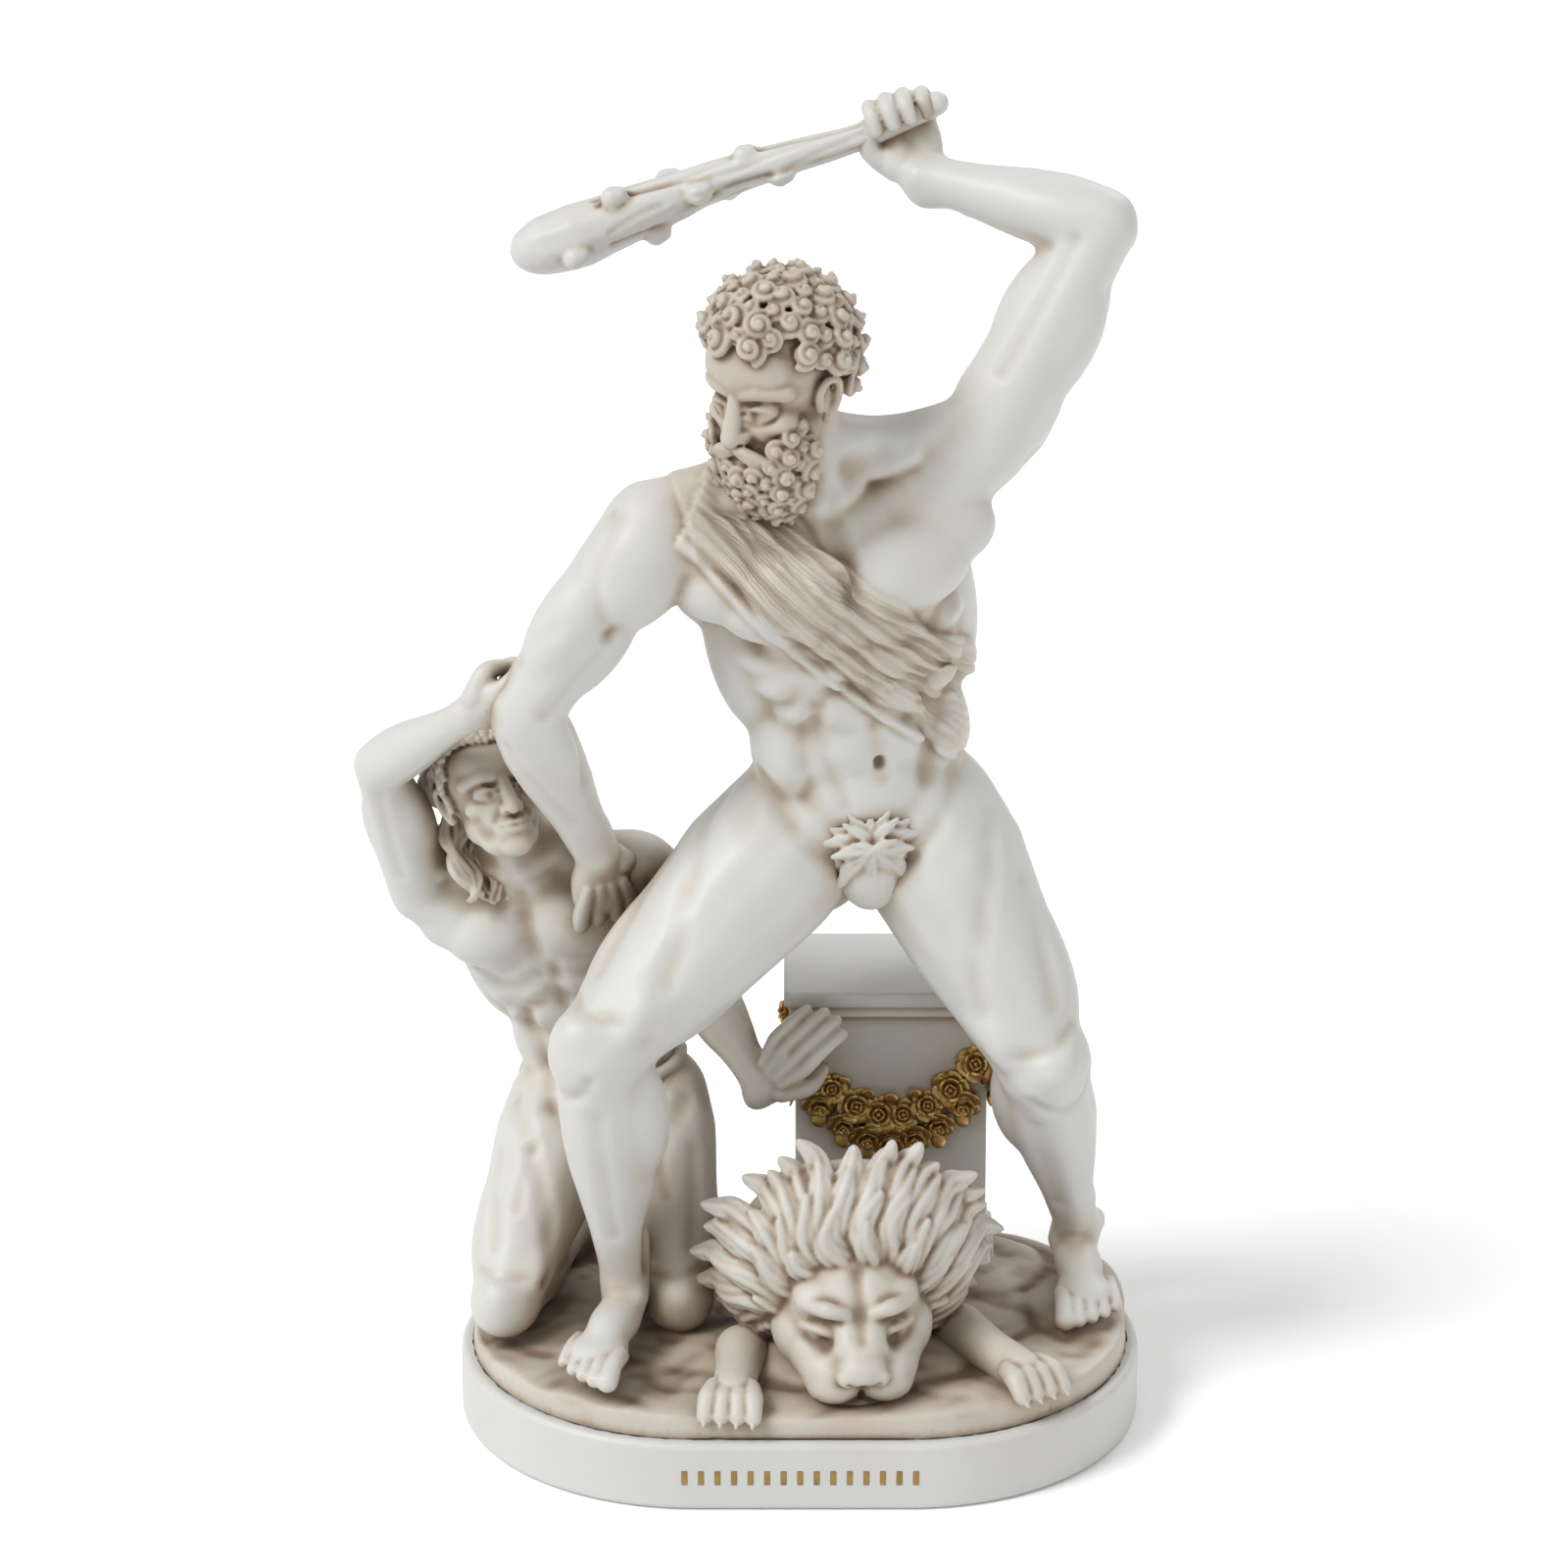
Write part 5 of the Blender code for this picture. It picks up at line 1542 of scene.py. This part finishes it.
def hip_cloth(clay, figure):
    """A twist of cloth round the hips, with a fall in front."""
    scale = size_of(figure) * figure["build"]
    low, _, _ = trunk_frames(figure)
    for strand in range(5):
        points = []
        for index in range(HIP_STEPS + 1):
            angle = 2 * math.pi * index / HIP_STEPS
            rise = 6.4 - 4.0 * math.cos(angle) + (strand - 2) * 1.9
            rise += 0.9 * math.sin(angle * 3 + strand * 1.9)
            reach = 0.4 * math.sin(angle * 5 + strand * 2.2)
            left = (20.8 + reach) * math.sin(angle)
            front = (14.6 + reach) * math.cos(angle) + 0.3
            points.append(low.point(left * scale, front * scale, rise * scale))
        clay.rope(points, [1.5 * scale] * len(points), 0.5)
    for strand in range(7):
        shift = (strand - 3) * 1.8
        points = [
            low.point(shift * spread_out * scale, (front - abs(shift) * 0.3) * scale, up * scale)
            for spread_out, front, up, _ in HIP_FALL
        ]
        clay.rope(points, [radius * scale for *_, radius in HIP_FALL])


# Leaves at the groin: (turn from straight down, length, how far in front)
LEAF_FAN = (
    (0.0, 19, 2.6),
    (0.95, 16, 1.2),
    (-0.95, 16, 1.2),
    (1.9, 11, 0.4),
    (-1.9, 11, 0.4),
    (0.45, 11, 3.4),
    (-0.5, 10, 3.2),
)
# Lobes of a leaf: (turn from its middle rib, share of its length)
LEAF_LOBES = ((0.0, 1.0), (0.62, 0.80), (-0.62, 0.80), (1.3, 0.54), (-1.3, 0.54))


def leaf(clay, root, along, face, length):
    """A lobed vine leaf, as thin overlapping blades round its stalk."""
    along = along.normalized()
    face = (face - along * face.dot(along)).normalized()
    across = along.cross(face)
    for angle, share in LEAF_LOBES:
        ray = (along * math.cos(angle) + across * math.sin(angle) - face * 0.10).normalized()
        blade = face - ray * face.dot(ray)
        axes = (ray, blade.normalized().cross(ray), blade.normalized())
        reach = length * share
        middle = root + ray * reach * 0.42
        clay.ball(middle, (reach * 0.42, reach * 0.21, length * 0.06), axes)
        clay.ball(root + ray * reach * 0.68, (reach * 0.36, reach * 0.11, length * 0.05), axes)
        ridge = [root + face * length * 0.03, middle + face * length * 0.06, root + ray * reach * 0.95]
        clay.rope(ridge, [length * 0.035, length * 0.03, length * 0.02])


def leaves():
    """A cluster of vine leaves at the hero's groin."""
    low, _, _ = trunk_frames(HERO)
    clay = Clay()
    scale = size_of(HERO) * HERO["build"]
    root = low.point(0, 14.5 * scale, 2.0 * scale)
    for turn, length, lift in LEAF_FAN:
        along = low.up * -math.cos(turn) + low.left * math.sin(turn)
        leaf(clay, root + low.front * lift, along - low.front * 0.12, low.front, length)
    core = root - low.up * 8 * scale - low.front * 2.6
    clay.ball(core, (6.4 * scale, 4.2 * scale, 8.5 * scale), (low.left, low.front, low.up))
    return clay


def hip_pieces():
    """The leaves and the kneeling man's hip cloth, fused."""
    cloth = Clay()
    hip_cloth(cloth, FOE)
    return [fused(leaves(), "leaf_cluster", 0.4, 1), fused(cloth, "kneeling_hip_cloth", 0.5, 1)]


def make_plinth():
    """The oval plinth with eased edges; the row of strokes is cut in its front later."""
    bpy.ops.object.select_all(action="DESELECT")
    bpy.ops.mesh.primitive_cylinder_add(
        vertices=192,
        radius=PLINTH_DEPTH / 2,
        depth=PLINTH_HEIGHT,
        location=(0, 0, PLINTH_HEIGHT / 2),
    )
    plinth = bpy.context.object
    plinth.name = "plinth_piece"
    only(plinth)
    bpy.ops.object.transform_apply(location=True, rotation=True, scale=True)
    shift = (PLINTH_LENGTH - PLINTH_DEPTH) / 2
    for corner in plinth.data.vertices:
        corner.co.x += shift if corner.co.x > 0 else -shift
    rounding = {"width": PLINTH_EDGE_ROUND, "segments": 5}
    applied(plinth, "BEVEL", limit_method="ANGLE", angle_limit=math.radians(60), **rounding)
    return plinth


def stroke_boxes(name, depth):
    """The row of upright strokes as rounded boxes in the plinth's front."""
    blocks = []
    for index in range(STROKE_COUNT):
        x = (index - (STROKE_COUNT - 1) / 2) * STROKE_PITCH
        centre = (x, -PLINTH_DEPTH / 2 + STROKE_DEPTH * 0.5, PLINTH_HEIGHT / 2)
        blocks.append(rounded_block(centre, (STROKE_WIDTH, depth, STROKE_HEIGHT), 0.0002, 2))
    only(blocks[0])
    for block in blocks:
        block.select_set(True)
    bpy.ops.object.join()
    blocks[0].name = name
    return blocks[0]


def settle(obj):
    """Takes a piece from grid steps to metres, on the plinth."""
    obj.data.transform(Matrix.Translation((0, 0, PLINTH_HEIGHT)) @ Matrix.Scale(STEP, 4))
    return obj


def thinned(obj, limit):
    """Keeps a piece under a number of triangles."""
    triangles = sum(len(face.vertices) - 2 for face in obj.data.polygons)
    if triangles > limit:
        applied(obj, "DECIMATE", ratio=limit / triangles)
    return obj


# Scales of the hollows: (passes of smoothing, gain per metre of depth)
CAVITY_SCALES = ((4, 6000.0), (20, 2400.0), (90, 800.0), (300, 330.0))
CAVITY_LIMITS = (-0.05, 0.5)
# The wash on the gilt strokes, the same all over
STROKE_WASH = 0.45
# How far painted shade of nearby forms reaches, and how many rays and sample points measure it
PAINTED_SHADE_REACH = 0.035
PAINTED_SHADE_RAYS = 18
PAINTED_SHADE_POINTS = 6500
PAINTED_SHADE_SEED = 11


def smoothed(obj, passes):
    """Where a piece's points lie after a number of smoothing passes."""
    copy = applied(copied(obj), "SMOOTH", factor=0.5, iterations=passes)
    places = read(copy.data.vertices, "co", 3)
    bpy.data.objects.remove(copy)
    return places


def evened(mesh, values, passes):
    """Values at a mesh's points, spread to their neighbours a number of times."""
    ends = np.empty(len(mesh.edges) * 2, np.int64)
    mesh.edges.foreach_get("vertices", ends)
    first, second = ends[::2], ends[1::2]
    count = np.maximum(np.bincount(ends, minlength=len(values)), 1)
    for _ in range(passes):
        total = np.bincount(first, values[second], len(values))
        total += np.bincount(second, values[first], len(values))
        values = (values + total / count) / 2
    return values


def hollows(obj, strength):
    """Stores how much wash the hollows of a piece hold, from fine grooves to broad dips."""
    mesh = obj.data
    places = read(mesh.vertices, "co", 3)
    normals = read(mesh.vertices, "normal", 3)
    hollow = np.zeros(len(places))
    for passes, gain in CAVITY_SCALES:
        depth = ((smoothed(obj, passes) - places) * normals).sum(1)
        hollow += np.clip(depth * gain, *CAVITY_LIMITS)
    hollow = evened(mesh, hollow, 3) * strength
    # patina in the hollows; painted shade is added to these values later
    store(mesh, "wash", hollow)


def dome_rays(count):
    """Directions over a half sphere, denser towards its top."""
    turn = math.pi * (3 - math.sqrt(5))
    index = np.arange(count)
    radius = np.sqrt((index + 0.5) / count)
    across, other = radius * np.cos(turn * index), radius * np.sin(turn * index)
    return np.stack([across, other, np.sqrt(1 - radius**2)], 1)


def add_painted_shade(obj, tree, tone, strength):
    """Adds a tone all over, and painted shade where other forms stand close round a point."""
    mesh = obj.data
    places = read(mesh.vertices, "co", 3)
    normals = read(mesh.vertices, "normal", 3)
    count = min(PAINTED_SHADE_POINTS, len(places))
    chosen = np.random.default_rng(PAINTED_SHADE_SEED).choice(len(places), count, replace=False)
    helper = np.where(np.abs(normals[chosen, 2:3]) < 0.9, (0.0, 0.0, 1.0), (1.0, 0.0, 0.0))
    across = np.cross(normals[chosen], helper)
    across /= np.linalg.norm(across, axis=1)[:, None]
    other = np.cross(normals[chosen], across)
    local = dome_rays(PAINTED_SHADE_RAYS)
    basis = np.stack([across, other, normals[chosen]], 1)
    rays = np.einsum("rk,pkc->prc", local, basis)
    starts = places[chosen] + normals[chosen] * 0.0005
    samples = KDTree(count)
    closed = np.zeros(count)
    for index, start in enumerate(starts):
        samples.insert(start, index)
        start = Vector(start)
        for ray in rays[index]:
            reach = tree.ray_cast(start, ray, PAINTED_SHADE_REACH)[3]
            if reach is not None:
                closed[index] += 1 - 0.6 * reach / PAINTED_SHADE_REACH
    samples.balance()
    closed /= PAINTED_SHADE_RAYS
    spread_out = np.zeros(len(places))
    for index, place in enumerate(places):
        found = samples.find_n(place, 3)
        weights = [1 / (gap + 0.0003) for _, _, gap in found]
        total = sum(closed[at] * weight for (_, at, _), weight in zip(found, weights))
        spread_out[index] = total / sum(weights)
    held = np.empty(len(places))
    mesh.attributes["wash"].data.foreach_get("value", held)
    # painted shade: the closer other forms stand round a point, the darker its colour
    values = tone + held + evened(mesh, spread_out, 12) * strength
    mesh.attributes["wash"].data.foreach_set("value", np.clip(values, 0, 1))


def joined_tree(pieces):
    """One search tree over all the pieces."""
    clay = Clay()
    for piece in pieces:
        clay.piece(copied(piece))
    whole = clay.made("whole_group")
    bpy.context.view_layer.update()
    tree = BVHTree.FromObject(whole, bpy.context.evaluated_depsgraph_get())
    bpy.data.objects.remove(whole)
    return tree


class Value:
    """A socket whose operators add Math nodes."""

    def __init__(self, paint, socket):
        self.paint = paint
        self.socket = socket

    def _with(self, operation, other, swap=False):
        values = [other, self] if swap else [self, other]
        inputs = {0: values[0], 1: values[1]}
        return self.paint.node("ShaderNodeMath", {"operation": operation}, inputs)

    def __add__(self, other):
        return self._with("ADD", other)

    def __radd__(self, other):
        return self._with("ADD", other)

    def __sub__(self, other):
        return self._with("SUBTRACT", other)

    def __rsub__(self, other):
        return self._with("SUBTRACT", other, swap=True)

    def __mul__(self, other):
        return self._with("MULTIPLY", other)

    def __rmul__(self, other):
        return self._with("MULTIPLY", other)

    def clamped(self):
        return self.paint.node("ShaderNodeClamp", {}, {"Value": self})


class Paint:
    """A material that is built node by node."""

    def __init__(self, name):
        self.material = bpy.data.materials.new(name)
        self.material.use_nodes = True
        self.tree = self.material.node_tree
        self.shader = self.tree.nodes["Principled BSDF"]

    def node(self, kind, settings, inputs, output=0):
        """Any node: its settings first, then values or links, and one output back."""
        made = self.tree.nodes.new(kind)
        for name, value in settings.items():
            if name == "stops":
                ramp = made.color_ramp.elements
                while len(ramp) < len(value):
                    ramp.new(0.5)
                for stop, (place, colour) in zip(ramp, value):
                    stop.position = place
                    stop.color = (*colour, 1.0)
            else:
                setattr(made, name, value)
        for name, value in inputs.items():
            self.put(made.inputs[name], value)
        return Value(self, made.outputs[output])

    def put(self, socket, value):
        if isinstance(value, Value):
            self.tree.links.new(value.socket, socket)
        else:
            socket.default_value = value

    def set(self, **values):
        """Values or links of the shader's own sockets."""
        for name, value in values.items():
            self.put(self.shader.inputs[name.replace("_", " ")], value)

    def objects(self):
        return self.node("ShaderNodeTexCoord", {}, {}, "Object")

    def attribute(self, name):
        return self.node("ShaderNodeAttribute", {"attribute_name": name}, {}, "Fac")

    def noise(self, scale, detail=3.0, rough=0.5):
        inputs = {"Vector": self.objects(), "Scale": scale, "Detail": detail, "Roughness": rough}
        return self.node("ShaderNodeTexNoise", {}, inputs, "Fac")

    def mix(self, share, first, second):
        settings = {"data_type": "RGBA"}
        return self.node("ShaderNodeMix", settings, {0: share, 6: first, 7: second}, 2)

    def bump(self, height, strength, distance):
        inputs = {"Height": height, "Strength": strength, "Distance": distance}
        return self.node("ShaderNodeBump", {}, inputs, "Normal")


IVORY = (0.55, 0.55, 0.53, 1.0)
LINEN = (0.49, 0.43, 0.34, 1.0)
# The stone's colours, from bare to the fullest patina and painted shade
RAMP_STOPS = (
    (0.0, IVORY[:3]),
    (0.22, (0.50, 0.47, 0.415)),
    (0.45, (0.40, 0.34, 0.27)),
    (0.70, (0.27, 0.205, 0.15)),
    (1.0, (0.14, 0.092, 0.058)),
)
# How close the threads of the cloth lie
FIBRE_COUNT = 420.0
GOLD = (0.56, 0.36, 0.13, 1.0)
# Near-black brown of patina in the gold's hollows and of painted shade by close forms
GOLD_PATINA_AND_SHADE = (0.05, 0.026, 0.009, 1.0)


def alabaster(name, cloth=False):
    """Satin ivory cast stone: brown patina in its hollows, painted shade by close forms."""
    paint = Paint(name)
    held = paint.attribute("wash")
    patches = paint.noise(26.0, 3.0, 0.55)
    specks = paint.noise(700.0, 2.0, 0.6)
    amount = (held + (patches - 0.5) * 0.40 + (specks - 0.5) * 0.08).clamped()
    # the ramp darkens the stone for patina and painted shade alike
    colour = paint.node("ShaderNodeValToRGB", {"stops": RAMP_STOPS}, {"Fac": amount}, "Color")
    grain = paint.noise(1400.0, 2.0, 0.6)
    height = grain * 0.25
    if cloth:
        cover = paint.attribute("cloth")
        fibre = paint.attribute("fibre")
        wave = {0: fibre * FIBRE_COUNT + paint.noise(120.0) * 9.0}
        threads = paint.node("ShaderNodeMath", {"operation": "SINE"}, wave)
        height = height + threads * cover * 1.6
        colour = paint.mix(cover * 0.45, colour, LINEN)
    paint.set(Base_Color=colour, Roughness=0.50 + 0.18 * amount, Metallic=0.0)
    paint.set(Normal=paint.bump(height, 0.35, 0.0002))
    paint.set(Subsurface_Weight=0.10, Subsurface_Scale=0.004, Coat_Weight=0.04, Coat_Roughness=0.45)
    return paint.material


def antique_gold(name):
    """Dark antique gold leaf: browner with patina in hollows, darker with painted shade."""
    paint = Paint(name)
    held = paint.attribute("wash")
    patches = paint.noise(420.0, 3.0, 0.6)
    amount = (held + (patches - 0.5) * 0.5).clamped()
    # patina and painted shade darken the gold and make it less metallic
    colour = paint.mix(amount, GOLD, GOLD_PATINA_AND_SHADE)
    paint.set(Base_Color=colour, Metallic=0.95 - 0.5 * amount, Roughness=0.30 + 0.30 * amount)
    paint.set(Normal=paint.bump(paint.noise(1800.0), 0.3, 0.0002))
    return paint.material


def smooth(obj, angle=None):
    only(obj)
    if angle is None:
        bpy.ops.object.shade_smooth()
    else:
        bpy.ops.object.shade_smooth_by_angle(angle=math.radians(angle))


def finish_piece(obj, material, node):
    obj.data.materials.clear()
    obj.data.materials.append(material)
    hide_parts(node)
    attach(obj, "root")


# The pieces: (tone of the patina, patina in hollows, painted shade by close forms, most triangles)
PIECES = {
    "hero_body": (0.05, 0.46, 1.05, 185000),
    "kneeling_body": (0.07, 0.46, 1.00, 130000),
    "hero_head": (0.40, 0.70, 0.45, 175000),
    "kneeling_head": (0.30, 0.66, 0.40, 110000),
    "leaf_cluster": (0.16, 0.60, 0.40, 16000),
    "kneeling_hip_cloth": (0.28, 0.60, 0.30, 36000),
    "club": (0.10, 0.70, 0.40, 24000),
    "lion_skin": (0.26, 0.66, 0.50, 165000),
    "ground": (0.32, 0.50, 0.60, 60000),
    "altar": (0.00, 0.50, 0.60, 16000),
    "rose_garland": (0.06, 0.90, 0.35, 58000),
}


def build():
    stone = alabaster("cast_alabaster")
    draped = alabaster("cast_alabaster_with_cloth", cloth=True)
    gold = antique_gold("antique_gold")
    body = figure_body(HERO, "hero_body", HERO_ENDS)
    chest_cloth(body)
    pieces = [body, figure_body(FOE, "kneeling_body", FOE_ENDS), hero_head(), foe_head()]
    pieces += hip_pieces()
    pieces += [club(), lion_skin(), ground(), make_altar(), rose_garland()]
    for piece in pieces:
        settle(piece)
        _, hollow_strength, _, limit = PIECES[piece.name]
        hollows(piece, hollow_strength)
        thinned(piece, limit)
        smooth(piece)
    tree = joined_tree(pieces)
    for piece in pieces:
        tone, _, painted_shade_strength, _ = PIECES[piece.name]
        # painted shade where other pieces stand close, added to the patina
        add_painted_shade(piece, tree, tone, painted_shade_strength)
        material = gold if piece.name == "rose_garland" else stone
        if piece is body:
            material = draped
        finish_piece(piece, material, "figure_group")
    plinth = make_plinth()
    cutter = stroke_boxes("stroke_cutter", 2 * STROKE_DEPTH)
    applied(plinth, "BOOLEAN", operation="DIFFERENCE", object=cutter)
    bpy.data.objects.remove(cutter)
    smooth(plinth, 40)
    applied(plinth, "WEIGHTED_NORMAL", keep_sharp=True)
    finish_piece(plinth, stone, "plinth")
    strokes = stroke_boxes("gilt_strokes", 1.3 * STROKE_DEPTH)
    store(strokes.data, "wash", np.full(len(strokes.data.vertices), STROKE_WASH))
    smooth(strokes, 40)
    finish_piece(strokes, gold, "plinth")


def stage_floor():
    bpy.ops.object.select_all(action="DESELECT")
    bpy.ops.mesh.primitive_plane_add(size=8.0, location=(0, 0, 0))
    floor = bpy.context.object
    floor.name = "studio_floor"
    paint = Paint("pale_floor")
    paint.set(Base_Color=(0.95, 0.95, 0.95, 1.0), Roughness=0.9)
    floor.data.materials.append(paint.material)


def aimed(name, light, place, target):
    obj = bpy.data.objects.new(name, light)
    bpy.context.scene.collection.objects.link(obj)
    obj.location = place
    obj.rotation_euler = (Vector(target) - Vector(place)).to_track_quat("-Z", "Y").to_euler()


def lamp(name, place, target, size, power):
    light = bpy.data.lights.new(name, "AREA")
    light.shape = "DISK"
    light.size = size
    light.energy = power
    aimed(name, light, place, target)


def far_lamp(name, place, target, spread_out, power):
    """A lamp so far off that it lights the whole floor alike; spread_out softens it."""
    light = bpy.data.lights.new(name, "SUN")
    light.angle = spread_out
    light.energy = power
    aimed(name, light, place, target)


# The photograph: its frame in pixels and where the plinth shows in it
PHOTO_SIZE = 1600
PLINTH_LEFT_PIXEL = 447
PLINTH_RIGHT_PIXEL = 1185
PLINTH_BOTTOM_PIXEL = 1517
FRAMING = 1.075
CAMERA_ELEVATION = 22.0
CAMERA_DISTANCE = 1.5
SENSOR = 36.0


def photo_camera():
    """A camera in front of and above the statuette, framed as the photograph is."""
    pixels = PLINTH_RIGHT_PIXEL - PLINTH_LEFT_PIXEL
    metres_per_pixel = PLINTH_LENGTH / pixels * FRAMING
    rise = math.radians(CAMERA_ELEVATION)
    back = Vector((0, -math.cos(rise), math.sin(rise)))
    up = Vector((0, math.sin(rise), math.cos(rise)))
    shift_x = ((PLINTH_LEFT_PIXEL + PLINTH_RIGHT_PIXEL) / 2 - PHOTO_SIZE / 2) * metres_per_pixel
    foot_point = Vector((0, -PLINTH_DEPTH / 2, 0))
    rise_of_foot = (PHOTO_SIZE / 2 - PLINTH_BOTTOM_PIXEL) * metres_per_pixel
    centre = Vector((-shift_x, 0, 0)) + up * (foot_point.dot(up) - rise_of_foot)
    camera = bpy.data.cameras.new("photo_camera")
    camera.sensor_width = SENSOR
    camera.lens = SENSOR * CAMERA_DISTANCE / (PHOTO_SIZE * metres_per_pixel)
    obj = bpy.data.objects.new("photo_camera", camera)
    bpy.context.scene.collection.objects.link(obj)
    obj.location = centre + back * CAMERA_DISTANCE
    obj.rotation_euler = (-back).to_track_quat("-Z", "Y").to_euler()
    bpy.context.scene.camera = obj


# Even light from all around
SKY_LIGHT = 0.56


def studio():
    world = bpy.data.worlds.new("studio")
    world.use_nodes = True
    world.node_tree.nodes["Background"].inputs["Color"].default_value = (1, 1, 1, 1)
    world.node_tree.nodes["Background"].inputs["Strength"].default_value = SKY_LIGHT
    bpy.context.scene.world = world
    target = (0, 0, 0.15)
    far_lamp("key", (-1.1, -0.6, 1.5), target, 0.46, 2.4)
    lamp("fill", (1.4, -0.9, 0.7), target, 1.0, 4.0)
    lamp("rim", (0.7, 1.2, 1.1), target, 0.8, 6.0)
    bpy.context.scene.view_settings.view_transform = "Standard"


build()
stage_floor()
photo_camera()
studio()
